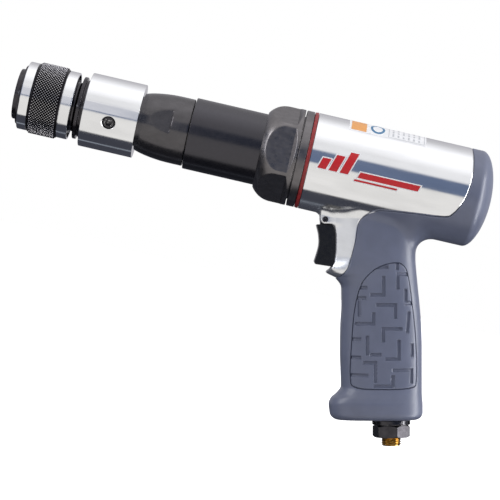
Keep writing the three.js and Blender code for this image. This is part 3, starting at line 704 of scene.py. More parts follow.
def retainer_body():
    front, back, ridge = span("retainer_body")
    body = turned("retainer_barrel", rounded([
        (front, SOCKET_R), (front, RETAINER_R), (-221.5, RETAINER_R, 0.3), (-221.5, 16, 0.5),
        (-220.3, 16, 0.3), (-219.6, 15.5, 0.4), (-218.4, 15.5, 0.4), (-217.1, 16.4, 0.3),
        (-217.1, ridge, 0.5), (-214.9, ridge, 0.5), (-214.9, 17.6, 0.3), (-213.9, 17.6, 0.3),
        (-213.9, 18.3, 0.3), (-212.7, 18.3), (-212.7, THREAD_R, 0.3), (back, THREAD_R, 0.6),
        (back, SOCKET_R, 0.6)]))
    holes = []
    for i in range(4):
        turn = math.pi / 2 * i
        outward = (0, math.sin(turn), math.cos(turn))
        ball_axis = Axis((BALL_X, 0, AXIS_Z), outward, (1, 0, 0))
        holes.append(rod("ball_hole", 6, 20, 3.5, ball_axis, 32))
    return combine(body, holes)


def latch_ball(i):
    low, high = corners_of(f"latch_ball_{i}")
    middle, radius = (low + high) / 2, (high - low).max() / 2
    turns = np.linspace(-math.pi / 2, math.pi / 2, 17)
    arc = [(radius * math.sin(t), max(radius * math.cos(t), 0.001)) for t in turns]
    return turned(f"steel_ball_{i}", arc, Axis(middle, (1, 0, 0), (0, 0, 1)), 32)


def sleeve_front_ring():
    front, back, radius = span("sleeve_front_ring")
    return turned("sleeve_front_band", rounded([
        (front, 17.2, 0.3), (front, radius, 0.7), (back, radius, 0.25), (back, cone_radius(back), 0.2),
        (-249, cone_radius(-249), 0.4)]))


def retainer_sleeve():
    front, back, radius = span("retainer_sleeve")
    knurl_back = span("knurled_ring")[1] + GAP
    return turned("sliding_sleeve", rounded([
        (front, cone_radius(front), 0.2), (front, 20.9, 0.2), (knurl_back, 20.9, 0.05),
        (knurl_back, radius, 0.3), (back, radius, 0.8), (back, 20.1, 0.3), (-234.5, 20.1, 0.2),
        (-234.5, RETAINER_R + 0.35, 0.2), (-236.5, RETAINER_R + 0.35, 0.2), (-236.5, LATCH_R, 0.2),
        (BALL_X - 0.5, LATCH_R, 0.3)]))


def knurled_ring():
    """A ring cut by two families of slanting grooves, which leave rows of blunt four-sided points."""
    front, back, radius = span("knurled_ring")
    inner, root = radius - 1.3, radius - 0.5
    tip, blunt, rim = radius + 0.3, 0.2, 1.0
    rows = 9
    pitch = (back - front - 2 * rim) / rows
    columns = 2 * KNURL_TEETH
    turn = math.pi / KNURL_TEETH
    points, faces, place = [], [], {}

    def corner(key, station, at_radius, angle):
        if key not in place:
            place[key] = len(points)
            points.append(BARREL.points(np.array(station), np.array(at_radius), np.array(angle)))
        return place[key]

    def low(i, j):
        return corner((i % columns, j), front + rim + j * pitch / 2, root, (i % columns) * turn)

    for j in range(1, 2 * rows):
        for i in range((j + 1) % 2, columns, 2):
            base = [low(i - 1, j), low(i, j + 1), low(i + 1, j), low(i, j - 1)]
            middle = front + rim + j * pitch / 2
            steps = [(-1, 0), (0, 1), (1, 0), (0, -1)]
            top = [corner(("top", i, j, k), middle + dx * blunt * pitch, tip, (i + dt * 2 * blunt) * turn)
                   for k, (dt, dx) in enumerate(steps)]
            faces += [(base[k], base[(k + 1) % 4], top[(k + 1) % 4], top[k]) for k in range(4)] + [tuple(top)]
    for j, side in ((0, 1), (2 * rows, -1)):
        faces += [(low(i, j), low(i + 1, j + side), low(i + 2, j)) for i in range(0, columns, 2)]
    loops = [
        (front + 0.5, root - 0.05), (front, root - 0.6), (front, inner),
        (back, inner), (back, root - 0.6), (back - 0.5, root - 0.05)]
    teeth = range(0, columns, 2)
    rims = [[corner(("loop", n, i), x, r, i * turn) for i in teeth] for n, (x, r) in enumerate(loops)]
    chain = [[low(i, 0) for i in teeth], *rims, [low(i, 2 * rows) for i in teeth]]
    for a, b in zip(chain[:-1], chain[1:]):
        after = [(k + 1) % KNURL_TEETH for k in range(KNURL_TEETH)]
        faces += [(a[k], b[k], b[n], a[n]) for k, n in enumerate(after)]
    return solid_piece("knurled_band", np.array(points), faces)


def retainer_collar():
    front, back, radius = span("retainer_collar")
    collar = turned("screwed_collar", rounded([
        (front, THREAD_R + GAP), (front, radius, 0.5), (back, radius, 0.12), (back - 0.6, THREAD_R + GAP),
    ]), facets=192)
    hole = turned("screw_hole", rounded([
        (13, 0.01, 0), (13, 3.8, 0), (22.3, 3.8, 0), (22.9, 4.0, 0), (26, 7.1, 0),
        (26, 0.01, 0)], 2), SCREW, 64)
    return combine(collar, [hole])


def set_screw():
    outline = rounded([(16.2, 0.01, 0), (16.2, 3.45), (22.9, 3.45, 0.7), (22.9, 0.01, 0)])
    body = turned("socket_screw", outline, SCREW, 64)
    key = turned("key_socket", [(19.3, 0.01), (19.3, 2.1), (22.6, 2.1), (23.6, 2.8), (23.6, 0.01)], SCREW, 6)
    return combine(body, [key])


NOSE_R, NOSE_BACK = 21.35, -146.2
FLAT_R, FLAT_TILT, FLAT_BACK = 19.8, math.radians(10), -157.5
FLAT_WALL, FLAT_WALL_RUN = 3, 1.1


def barrel_flats(station, radius, angle):
    """Two flats milled on the barrel's nose, each with a steep end wall behind."""
    on_nose = (radius > TUBE_R + 0.1) & (station < NOSE_BACK)
    trimmed = radius
    for side in (-1, 1):
        lean = np.cos(angle - side * (math.pi / 2 - FLAT_TILT))
        wall = np.clip((station - FLAT_BACK) / FLAT_WALL_RUN, 0, 1) * FLAT_WALL
        flat = np.where(lean > 0.3, (FLAT_R + wall) / np.maximum(lean, 0.3), 99)
        trimmed = np.minimum(trimmed, flat)
    return np.where(on_nose, trimmed, radius)


def barrel():
    front, back, _ = span("barrel")
    nose = spline([
        (-177.6, 18), (-173.6, 19.2), (-169, 20.1), (-164, 20.8), (-158, 21.25), (-152, NOSE_R)], 14)
    nose += [np.array((x, NOSE_R)) for x in np.arange(-151.6, -146.5, 0.5)]
    tail = rounded([
        (-146, NOSE_R, 0.5), (-146, TUBE_R, 0.3), (-139.4, TUBE_R), (-139.4, 16.2), (-136.6, 16.2),
        (-136.6, TUBE_R), (-74, TUBE_R), (-74, 24.3), (-68, 24.3), (-68, 17), (back, 17),
        (back, CYLINDER_R), (-189, CYLINDER_R), (-192, SHANK_R, 0.5), (front, SHANK_R, 0.6),
        (front, 10, 0.6), (-199.7, 10), (-199.7, THREAD_R, 0.5), (-177.6, THREAD_R, 0.2),
        (-177.6, 18, 0.05)], 3)
    return turned("barrel_tube", [*tail, *nose], facets=240, shape=barrel_flats)


def barrel_jacket():
    front, back, _ = span("barrel_jacket")
    bush = TUBE_R + 0.4
    return turned("barrel_cover", rounded([
        (front, 21.7, 0.15), (front, 22.7, 0.9), (-82, 22.7), (-82, 24.4), (back, 24.4), (back, bush),
        (-90, bush), (-90, 21), (-133, 21), (-133, bush), (-142, bush), (-142, 21.7)]))


NUT_FLAT, NUT_FLAT_BACK, NUT_TURN = 27.1, -80.6, math.radians(5)
NUT_RUNOUT, NUT_EDGE = 1.5, 0.3
NUT_FRONT_R, NUT_FULL_X = 23.8, -86.7


def nut_flats(station, radius, angle):
    """Six flats whose ends slope up to the nut's rim, with a narrow round on their edges."""
    turn = np.mod(angle + math.pi / 6 - math.pi / 2 + NUT_TURN, math.pi / 3) - math.pi / 6
    runout = np.maximum(station - NUT_FLAT_BACK, 0) * NUT_RUNOUT
    flat = (NUT_FLAT + runout) / np.cos(turn)
    return np.where(radius > NUT_FLAT - 0.2, smooth_min(radius, flat, NUT_EDGE), radius)


def barrel_nut():
    front, back, _ = span("barrel_nut")
    run, rise = NUT_FULL_X - front, BODY_R - NUT_FRONT_R
    arc_r = (run * run + rise * rise) / (2 * rise)
    arc = [(x, BODY_R - arc_r + math.sqrt(arc_r**2 - (NUT_FULL_X - x) ** 2))
           for x in np.linspace(front, NUT_FULL_X, 34)]
    land = [(x, BODY_R) for x in np.arange(NUT_FULL_X + 0.4, -77.3, 0.3)]
    rest = rounded([
        (-77, BODY_R, 0.35), (-77, 26.4), (back, 26.4, 0.4), (back, GLAND_R, 0.4), (-82.3, GLAND_R),
        (-82.3, 23), (front, 23), (front, NUT_FRONT_R, 0.3)], 4)
    return turned("gland_nut", [*arc, *land, *rest], facets=480, shape=nut_flats)


RING_BORE = 26.7


def lock_ring():
    front, back, radius = span("lock_ring")
    return turned("locking_ring", rounded([
        (front, RING_BORE), (front, radius, 0.6), (back, radius, 0.3), (back, RING_BORE)]), facets=192)


def gasket_ring():
    front, back, radius = span("gasket_ring")
    return turned("red_gasket", rounded([
        (front, RING_BORE), (front, radius - 0.2, 0.7), (back, radius, 0.5), (back, RING_BORE)]), facets=192)


# ---- springs ----

def coil(name, turns, wire, axis, start, end, radius):
    """A round-wire spring between two stations."""
    steps, sides = int(turns * 36), 12
    share = np.linspace(0, 1, steps)
    angle = 2 * math.pi * turns * share
    station = start + wire + (end - start - 2 * wire) * share
    centre = axis.points(station, np.full(steps, radius), angle)
    outward = axis.points(station, np.full(steps, radius + 1.0), angle) - centre
    around = np.arange(sides) * 2 * math.pi / sides
    ring = np.cos(around)[None, :, None] * outward[:, None] + np.sin(around)[None, :, None] * axis.along
    points = (centre[:, None] + wire * ring).reshape(-1, 3)
    faces = net(steps, sides, closed_rows=False)
    faces += [tuple(range(sides)), tuple(range(steps * sides - 1, (steps - 1) * sides - 1, -1))]
    return solid_piece(name, points, faces)


# ---- the trigger and the air inlet ----

def trigger():
    front = spline([(-41.0, 66.8), (-39.5, 60), (-39.6, 53), (-42.4, 43.6)], 6)
    back = spline([
        (-31.2, 40.2), (-29.8, 43.6), (-28.7, 50), (-28.5, 60), (-28.8, 64.8), (-31.0, 66.5),
        (-35.5, 66.8)], 4)
    body = bevelled(grip_prism("trigger_blade", [*front, (-41.5, 41.8), *back], 9), 1.1, 4, 40)
    arc = [(PIN[0] + 2.9 * math.cos(t), PIN[1] + 2.9 * math.sin(t)) for t in np.linspace(math.pi, 0, 20)]
    tongue = grip_prism("tongue", [(PIN[0] - 2.9, 62), *arc, (PIN[0] + 2.9, 62)], 5.5)
    combine(body, [tongue], "UNION")
    return combine(body, [rod("hole", -20, 20, PIN_HOLE_R, PIN_AXIS, 32)])


def trigger_pin():
    half = corners_of("trigger_pin")[1][1]
    wall = (half, 0.8, 0.1), (half - 1.2, 0.8, 0.1), (half - 1.2, 0.01, 0)
    outline = [(-x, r, cut) for x, r, cut in reversed(wall)]
    return turned("roll_pin", rounded([*outline, (-half, 1.7, 0.35), (half, 1.7, 0.35), *wall]), PIN_AXIS, 40)


HEX_TOP, HEX_BOTTOM, HEX_R = -59.5, -67.1, 12.0
HEX_FACE_R, HEX_SLOPE = 10.6, 1.5
HEX_TURN = math.radians(-15)


def hexagon(station, radius, angle):
    """Six flats on the part of the inlet bushing below its neck."""
    turn = np.mod(angle - math.radians(30) - HEX_TURN + math.pi / 6, math.pi / 3) - math.pi / 6
    flat = HEX_R * math.cos(math.pi / 6) / np.cos(turn)
    return np.where(radius > 9.2, smooth_min(radius, flat, 0.15), radius)


def inlet_bushing():
    steps = np.linspace(0.1, 0.95, 10)
    lower = [(HEX_BOTTOM, HEX_FACE_R), *[(HEX_BOTTOM + t, HEX_FACE_R + HEX_SLOPE * t) for t in steps]]
    upper = [(HEX_TOP - t, HEX_FACE_R + HEX_SLOPE * t) for t in steps[::-1]]
    rest = rounded([
        (HEX_TOP, HEX_FACE_R, 0.05), (HEX_TOP, 9, 0.2), (-54.8, 9), (-54.8, 7.9), (-53, 7.9), (-53, 9),
        (-36.4, 9, 0.5), (-36.4, 5.3, 0.4), (-56, 5.3), (-56, 6.6), (HEX_BOTTOM, 6.6, 0.4)], 3)
    return turned("inlet_hexagon", [*lower, *upper, *rest], INLET, 240, hexagon)


PIPE_PITCH, PIPE_DEPTH, PIPE_R = 1.41, 0.75, 6.3


def nipple_thread(station, radius, angle):
    """A pipe thread outside the nipple, below the hexagon."""
    wave = np.abs(np.mod(station / PIPE_PITCH + angle / (2 * math.pi), 1) - 0.5) * 2
    return np.where((radius > 5.5) & (station < HEX_BOTTOM), radius - PIPE_DEPTH * wave, radius)


def inlet_nipple():
    bottom = -72.5
    outside = [(x, PIPE_R) for x in np.arange(bottom + 0.7, HEX_BOTTOM + 0.6, 0.16)]
    rest = rounded([(-56.4, PIPE_R), (-56.4, 4.2), (bottom, 4.2, 0.3), (bottom, 5.6, 0.2)], 3)
    return turned("brass_nipple", [*outside, *rest], INLET, 96, nipple_thread)


def exhaust_deflector():
    ring = turned("exhaust_ring", rounded([
        (-59.2, 9.3), (-59.2, 12, 0.7), (-56.1, 12, 0.4), (-56.1, 9.3)]), INLET, 96)
    for first, last in ((-162, -73), (-66, -57), (-48, -20)):
        combine(ring, slot_cutters(math.radians(first), math.radians(last)))
    return ring


def slot_cutters(first, last):
    """A slot round part of the exhaust ring, as a bent bar and the two round ends of it."""
    middle, half, inner, outer = -57.6, 0.95, 11.2, 14
    section = [(middle - half, inner), (middle - half, outer), (middle + half, outer), (middle + half, inner)]
    turns = np.linspace(first, last, 40)
    points = [INLET.points(np.full(40, x), np.full(40, r), turns) for x, r in section]
    faces = net(40, 4, closed_rows=False) + [(0, 1, 2, 3), (159, 158, 157, 156)]
    cutters = [solid_piece("slot", np.stack(points, 1).reshape(-1, 3), faces)]
    for turn in (first, last):
        outward = from_grip((math.cos(turn), math.sin(turn), 0))
        end = Axis(from_grip((INLET_X, 0, middle)), outward, from_grip((0, 0, 1)))
        cutters.append(rod("slot_end", inner, outer, half, end, 24))
    return cutters


# ---- marks on the housing ----

FILM_THICK = 0.04


def wrapped(name, outline, side, lift):
    """A flat outline of (x, arc height) points laid round the housing as a thin film."""
    shape = bmesh.new()
    shape.faces.new([shape.verts.new((x, s, 0)) for x, s in outline])
    heights = [s for _, s in outline]
    for cut in np.arange(math.ceil(min(heights)), max(heights), 1.0):
        everything = list(shape.verts) + list(shape.edges) + list(shape.faces)
        bmesh.ops.bisect_plane(shape, geom=everything, plane_co=(0, cut, 0), plane_no=(0, 1, 0))
    made = bmesh.ops.extrude_face_region(shape, geom=list(shape.faces))
    for item in made["geom"]:
        if isinstance(item, bmesh.types.BMVert):
            item.co.z = FILM_THICK
    shape.verts.ensure_lookup_table()
    shape.verts.index_update()
    flat = np.array([v.co for v in shape.verts])
    faces = [[v.index for v in face.verts] for face in shape.faces]
    shape.free()
    radius, angle = BODY_R + lift + flat[:, 2], flat[:, 1] / BODY_R
    points = np.stack([flat[:, 0], side * radius * np.cos(angle), AXIS_Z + radius * np.sin(angle)], -1)
    return solid_piece(name, points, faces)


LABEL_ARC = (28.0, 43.5)
PLATE_LIFT, EDGE_LIFT, MARK_LIFT = 0.02, 0.03, 0.1
LAYERS = (0.08, 0.14, 0.2)


def slanted(x, width, low, high, slant=0.32):
    """A leaning bar, as an outline."""
    shift = slant * (high - low)
    return [(x, low), (x + width, low), (x + width + shift, high), (x + shift, high)]


def grown(outline, by):
    """An outline moved outwards, by its corners."""
    points = np.array(outline, float)
    before, after = np.roll(points, 1, axis=0) - points, np.roll(points, -1, axis=0) - points
    before /= np.hypot(*before.T)[:, None]
    after /= np.hypot(*after.T)[:, None]
    inward = before + after
    sine = np.abs(before[:, 0] * after[:, 1] - before[:, 1] * after[:, 0])
    return points - inward * (by / np.maximum(sine, 0.2))[:, None]


def ellipse(x, s, width, height, count=40):
    turn = np.arange(count) * 2 * math.pi / count
    return [(x + width * math.cos(t), s + height * math.sin(t)) for t in turn]


def emblem():
    """A generic mark: three rising bars and two speed lines."""
    bars = [slanted(-63 + 7.0 * i, 5.2, -4.4, 2.5 + 3.5 * i) for i in range(3)]
    return bars + [slanted(-37.5, 38, -5.0, -1.4), slanted(-39.4, 27, -7.4, -6.2)]


def label_blocks():
    """The plain fields of the label over the top of the housing: outline, ink and how high it lies."""
    low, high = LABEL_ARC
    fields = [
        (slanted(-47.6, 9.6, low, high, 0), "orange", LAYERS[0]),
        (ellipse(-31, 35.6, 4.6, 6.6), "blue", LAYERS[0]),
        (ellipse(-31, 35.6, 3.1, 4.6), "white", LAYERS[1]),
        (slanted(-24, 23, low, high, 0), "grey", LAYERS[0]),
        (slanted(-23.6, 22.2, low + 0.4, high - 0.4, 0), "white", LAYERS[1]),
    ]
    for column in range(6):
        for row in range(3):
            x, start = -21.6 + 3.3 * column, low + 1.6 + 4.6 * row
            end = start + 3.4 - 0.7 * ((column + row) % 3)
            fields.append((slanted(x, 1.1, start, end, 0), "grey", LAYERS[2]))
    return fields


# ---- looks ----

ALL_WAYS, ROUND_LINES = (1, 1, 1), (1, 0.02, 0.02)


def add_node(tree, kind, sockets, **values):
    """A shader node with its sockets linked to others' outputs or set to plain values."""
    made = tree.nodes.new("ShaderNode" + kind)
    for key, value in values.items():
        setattr(made, key, value)
    for socket, value in sockets.items():
        if isinstance(value, bpy.types.NodeSocket):
            tree.links.new(value, made.inputs[socket])
        else:
            made.inputs[socket].default_value = value
    return made


class Look:
    """One procedural material: a Principled shader and the nodes that feed it."""

    def __init__(self, name, colour, roughness, metallic, **constants):
        self.material = bpy.data.materials.new(name)
        self.material.use_nodes = True
        self.tree = self.material.node_tree
        self.shader = self.tree.nodes["Principled BSDF"]
        self.colour, self.roughness = colour, roughness
        self.shader.inputs["Metallic"].default_value = metallic
        for socket, value in constants.items():
            self.shader.inputs[socket.replace("_", " ")].default_value = value
        self.place = self.node("TexCoord").outputs["Object"]

    def node(self, kind, sockets=(), **values):
        return add_node(self.tree, kind, dict(sockets), **values)

    def feed(self, socket, source):
        self.tree.links.new(source, self.shader.inputs[socket])

    def fed(self, socket):
        """What feeds one of the shader's sockets so far."""
        return self.shader.inputs[socket].links[0].from_socket

    def noise(self, scale, stretch=ALL_WAYS, detail=3):
        """Noise in the object's own axes. The scale is in features for each metre."""
        mapping = self.node("Mapping", {"Vector": self.place, "Scale": stretch})
        sockets = {"Vector": mapping.outputs["Vector"], "Scale": scale, "Detail": detail}
        return self.node("TexNoise", sockets).outputs["Fac"]

    def scaled(self, value, low, high, from_low=0.3, from_high=0.7):
        """A value spread from one range to another."""
        sockets = {"Value": value, "From Min": from_low, "From Max": from_high, "To Min": low, "To Max": high}
        return self.node("MapRange", sockets).outputs["Result"]

    def mix(self, share, first, second):
        """Two colours mixed by a share."""
        first, second = ((*part, 1) if isinstance(part, tuple) else part for part in (first, second))
        return self.node("Mix", {0: share, 6: first, 7: second}, data_type="RGBA").outputs[2]

    def bump(self, height, strength, depth):
        """Adds a bump, in millimetres of depth, on top of any already there."""
        sockets = {"Strength": strength, "Distance": depth * MM, "Height": height}
        if self.shader.inputs["Normal"].is_linked:
            sockets["Normal"] = self.fed("Normal")
        self.feed("Normal", self.node("Bump", sockets).outputs["Normal"])

    def mottled(self, amount, scale, stretch=ALL_WAYS):
        """Colour and roughness that wander a little over the surface."""
        darker = tuple(part * (1 - amount) for part in self.colour)
        lighter = tuple(min(part * (1 + amount), 1) for part in self.colour)
        self.feed("Base Color", self.mix(self.scaled(self.noise(scale, stretch), 0, 1), darker, lighter))
        self.feed("Roughness", self.scaled(self.noise(scale * 1.7, stretch), *self.roughness))

    def from_axis(self):
        """How far a point is from the barrel's axis, in metres."""
        sockets = {0: self.place, 1: (0, 1, 1), 2: (0, 0, -AXIS_Z * MM)}
        offset = self.node("VectorMath", sockets, operation="MULTIPLY_ADD").outputs["Vector"]
        return self.node("VectorMath", {0: offset}, operation="LENGTH").outputs["Value"]

    def worn_and_highlit_edges(self, bare_and_highlight_colour, low, high):
        """Sharp edges painted a lighter colour: part rubbed-through metal, part painted highlight standing in
        for light along the edges.
        """
        edge = self.scaled(self.node("NewGeometry").outputs["Pointiness"], 0, 1, low, high)
        patch = self.scaled(self.noise(900, detail=4), 0, 1, 0.42, 0.58)
        share = self.node("Math", {0: edge, 1: patch}, operation="MULTIPLY").outputs[0]
        self.feed("Base Color", self.mix(share, self.fed("Base Color"), bare_and_highlight_colour))


def finish(name, colour, roughness, metallic, mottling, bumps=(), edge_wear_and_highlight=None, **constants):
    """A look with a wandering colour, its sharp edges painted lighter if asked (part rubbed metal, part
    painted highlight), and bumps: the noise's scale, stretch and detail, then the bump's strength and depth."""
    look = Look(name, colour, roughness, metallic, **constants)
    look.mottled(*mottling)
    # Sharp edges painted lighter: part rubbed metal, part painted highlight.
    if edge_wear_and_highlight:
        look.worn_and_highlit_edges(*edge_wear_and_highlight)
    for scale, stretch, detail, strength, depth in bumps:
        look.bump(look.noise(scale, stretch, detail), strength, depth)
    return look


CAST_LOW, CAST_HIGH, CAST_ROUGHER = 60, 74, 0.24


def polished_alloy():
    """Bright where it was turned, and more satin down on the cast web."""
    look = finish("Polished alloy", (0.88, 0.885, 0.90), (0.07, 0.15), 1.0, (0.05, 130, (0.25, 1, 1)), [
        (2600, ROUND_LINES, 2, 0.10, 0.02), (420, (0.6, 1, 1), 3, 0.06, 0.06),
        (55, (0.5, 1, 1), 2, 0.12, 0.25)])
    height = look.node("SeparateXYZ", {0: look.place}).outputs["Z"]
    cast = look.scaled(height, CAST_ROUGHER, 0, CAST_LOW * MM, CAST_HIGH * MM)
    rougher = look.node("Math", {0: cast, 1: look.fed("Roughness")}, operation="ADD")
    look.feed("Roughness", rougher.outputs[0])
    return look


def knurled_steel():
    """Blackened, with the points of the knurl painted bright, part rubbed steel and part painted glint on
    each tooth, and the grooves between them dull.
    """
    look = finish("Knurled steel", (0.014, 0.013, 0.016), (0.24, 0.34), 0.9, (0.2, 500))
    radius = span("knurled_ring")[2] * MM
    height = look.node("Math", {0: look.from_axis(), 1: radius}, operation="SUBTRACT").outputs[0]
    # Painted glint: the outermost tenths of a millimetre of each tooth take a bright colour, partly rubbed
    # steel.
    tip = look.scaled(height, 0, 1, 0.15 * MM, 0.27 * MM)
    look.feed("Base Color", look.mix(tip, look.fed("Base Color"), (0.5, 0.49, 0.51)))
    return look


def ink(name, colour):
    """A printed film on the polished housing."""
    return finish(name, colour, (0.3, 0.42), 0.0, (0.06, 500), [(1500, ALL_WAYS, 2, 0.04, 0.02)])


def build_looks():
    # Gunmetal, black oxide steel and the blackened rings end with an edge colour and a Pointiness range:
    # their sharp edges are painted lighter, part rubbed metal and part painted highlight.
    made = {
        "polished_alloy": polished_alloy(),
        "knurled_steel": knurled_steel(),
        "gunmetal": finish(
            "Gunmetal", (0.105, 0.1, 0.105), (0.17, 0.26), 0.85, (0.1, 240, (0.6, 1, 1)),
            [(1500, ROUND_LINES, 3, 0.12, 0.02), (700, ALL_WAYS, 4, 0.05, 0.04)],
            ((0.5, 0.49, 0.48), 0.54, 0.64)),
        "black_paint": finish(
            "Black coating", (0.006, 0.0056, 0.0075), (0.2, 0.27), 0.0, (0.3, 300),
            [(1400, ALL_WAYS, 3, 0.06, 0.03)], Specular_IOR_Level=0.9, Specular_Tint=(0.93, 0.9, 1.0, 1.0)),
        "black_steel": finish(
            "Black oxide steel", (0.18, 0.17, 0.175), (0.26, 0.38), 1.0, (0.12, 260, (0.7, 1, 1)),
            [(1900, ROUND_LINES, 2, 0.10, 0.02)], ((0.3, 0.3, 0.31), 0.58, 0.7)),
        "ring_steel": finish(
            "Blackened rings", (0.06, 0.057, 0.063), (0.16, 0.26), 0.9, (0.2, 300),
            [(2200, ROUND_LINES, 2, 0.08, 0.02)], ((0.4, 0.4, 0.41), 0.54, 0.62)),
        "machined_steel": finish(
            "Machined steel", (0.50, 0.50, 0.51), (0.2, 0.34), 1.0, (0.08, 220),
            [(1800, ROUND_LINES, 2, 0.12, 0.02)]),
        "spring_steel": finish(
            "Spring steel", (0.30, 0.30, 0.32), (0.25, 0.38), 1.0, (0.15, 400),
            [(2400, ALL_WAYS, 3, 0.08, 0.02)]),
        "grey_moulding": finish(
            "Grey moulding", (0.132, 0.147, 0.213), (0.32, 0.4), 0.0, (0.05, 120),
            [(2600, ALL_WAYS, 2, 0.10, 0.04), (260, ALL_WAYS, 3, 0.05, 0.08)], Specular_IOR_Level=0.6),
        "black_moulding": finish(
            "Black moulding", (0.007, 0.007, 0.009), (0.2, 0.3), 0.0, (0.12, 200),
            [(2400, ALL_WAYS, 2, 0.04, 0.012)]),
        "black_rubber": finish(
            "Black rubber", (0.018, 0.018, 0.019), (0.6, 0.8), 0.0, (0.25, 400),
            [(1800, ALL_WAYS, 4, 0.2, 0.05)]),
        "red_seal": finish(
            "Red gasket", (0.27, 0.016, 0.018), (0.35, 0.5), 0.0, (0.2, 350),
            [(1800, ALL_WAYS, 3, 0.1, 0.04)]),
        "brass": finish(
            "Brass", (0.56, 0.36, 0.11), (0.18, 0.34), 1.0, (0.2, 350), [(2000, ALL_WAYS, 3, 0.1, 0.03)]),
        "ink_red": ink("Red ink", (0.55, 0.012, 0.018)),
        "ink_white": ink("White ink", (0.86, 0.86, 0.87)),
        "ink_orange": ink("Orange ink", (0.80, 0.36, 0.10)),
        "ink_blue": ink("Blue ink", (0.05, 0.19, 0.36)),
        "ink_grey": ink("Grey ink", (0.55, 0.56, 0.58)),
    }
    return {name: look.material for name, look in made.items()}


# ---- the assembly ----

def dress_kept_nodes(looks):
    """The CAD nodes that stay, all inside the tool, get the look of their slot."""
    for name, node in frame["nodes"].items():
        node.data.materials.clear()
        node.data.materials.append(looks[SLOT_OF[name]])


def add_film(name, outline, side, lift, look):
    film = wrapped(name, outline, side, lift)
    film.data.materials.append(look)
    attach(film, "handle")
    shade(film, 40, even=False)


def add_marks(looks):
    for side, which in ((-1, "left"), (1, "right")):
        for i, outline in enumerate(emblem()):
            edge = grown(outline, 0.7)
            add_film(f"mark_edge_{which}_{i}", edge, side, EDGE_LIFT, looks["ink_white"])
            add_film(f"mark_{which}_{i}", outline, side, MARK_LIFT, looks["ink_red"])
    low, high = LABEL_ARC
    plate = slanted(-49, 49, low - 1, high + 1, 0)
    add_film("label_plate", plate, -1, PLATE_LIFT, looks["ink_white"])
    for i, (outline, ink, lift) in enumerate(label_blocks()):
        add_film(f"label_field_{i}", outline, -1, lift, looks["ink_" + ink])


# The pieces other than the grip and the springs: node, look, the angle at which an edge is sharp, and maker.
PIECES = [
    ("nose_ring", "ring_steel", 32, nose_ring),
    ("retainer_body", "ring_steel", 32, retainer_body),
    *[(f"latch_ball_{i}", "machined_steel", 32, partial(latch_ball, i)) for i in range(1, 5)],
    ("sleeve_front_ring", "polished_alloy", 32, sleeve_front_ring),
    ("retainer_sleeve", "polished_alloy", 32, retainer_sleeve),
    ("knurled_ring", "knurled_steel", 20, knurled_ring),
    ("retainer_collar", "polished_alloy", 32, retainer_collar),
    ("set_screw", "ring_steel", 32, set_screw),
    ("barrel", "gunmetal", 45, barrel),
    ("barrel_jacket", "black_paint", 32, barrel_jacket),
    ("barrel_nut", "black_steel", 50, barrel_nut),
    ("lock_ring", "black_steel", 32, lock_ring),
    ("gasket_ring", "red_seal", 32, gasket_ring),
    ("trigger", "black_moulding", 32, trigger),
    ("trigger_pin", "ring_steel", 32, trigger_pin),
    ("inlet_bushing", "ring_steel", 45, inlet_bushing),
    ("inlet_nipple", "brass", 45, inlet_nipple),
    ("exhaust_deflector", "ring_steel", 32, exhaust_deflector),
]

# Springs: turns, wire's radius, axis, start, end, radius.
SPRINGS = {
    "retainer": (3, 0.6, BARREL, -233, -221.7, 16.6),
    "isolator": (4, 1.6, BARREL, -67.7, -40.3, 22.2),
    "throttle": (4, 0.55, THROTTLE, -8.7, 7.8, 4),
}


def build_tool():
    looks = build_looks()
    dress_kept_nodes(looks)
    housing, cover = housing_and_cover()
    adopt(housing, looks["polished_alloy"], "motor_housing")
    adopt(cover, looks["grey_moulding"], "grip_cover")
    for side, which in ((-1, "left"), (1, "right")):
        pad = side_plug(f"grip_pad_{which}", side, PAD_LOOPS, 120, stroke_depth, 4)
        adopt(shade(pad, 60), looks["grey_moulding"], f"grip_panel_{which}")
    for node, look, sharp, make in PIECES:
        adopt(shade(make(), sharp, even=make is not knurled_ring), looks[look], node)
    for name, sizes in SPRINGS.items():
        adopt(shade(coil(name + "_coil", *sizes)), looks["spring_steel"], name + "_spring")
    add_marks(looks)


# ---- the studio ----

VIEW_MIDDLE = (-91.9, 0, 30.8)
VIEW_WIDTH = 315.0
LENS, SENSOR = 150.0, 36.0


def add_camera():
    """Looks level along +Y, rolled by the grip's lean so that the grip stands upright in the picture."""
    data = bpy.data.cameras.new("Camera")
    data.lens, data.sensor_width = LENS, SENSOR
    camera = bpy.data.objects.new("Camera", data)
    distance = VIEW_WIDTH * LENS / SENSOR
    camera.location = Vector((VIEW_MIDDLE[0], -distance, VIEW_MIDDLE[2])) * MM
    camera.rotation_mode = "XYZ"
    camera.rotation_euler = (math.pi / 2, -LEAN, 0)
    bpy.context.scene.collection.objects.link(camera)
    bpy.context.scene.camera = camera


FLOOR_SIZE, FLOOR_BELOW = 30, 0.12


def add_floor():
    bpy.ops.mesh.primitive_plane_add(size=FLOOR_SIZE, location=(0, 0, CAD_BOX[0][2] - FLOOR_BELOW))
    floor = bpy.context.object
    floor.name = "floor"
    material = bpy.data.materials.new("Pale floor")
    material.use_nodes = True
    shader = material.node_tree.nodes["Principled BSDF"]
    shader.inputs["Base Color"].default_value = (0.9, 0.9, 0.9, 1)
    shader.inputs["Roughness"].default_value = 0.9
    shader.inputs["Emission Color"].default_value = (1, 1, 1, 1)
    shader.inputs["Emission Strength"].default_value = 0.85
    floor.data.materials.append(material)
    floor.visible_glossy = False
    floor.visible_diffuse = False


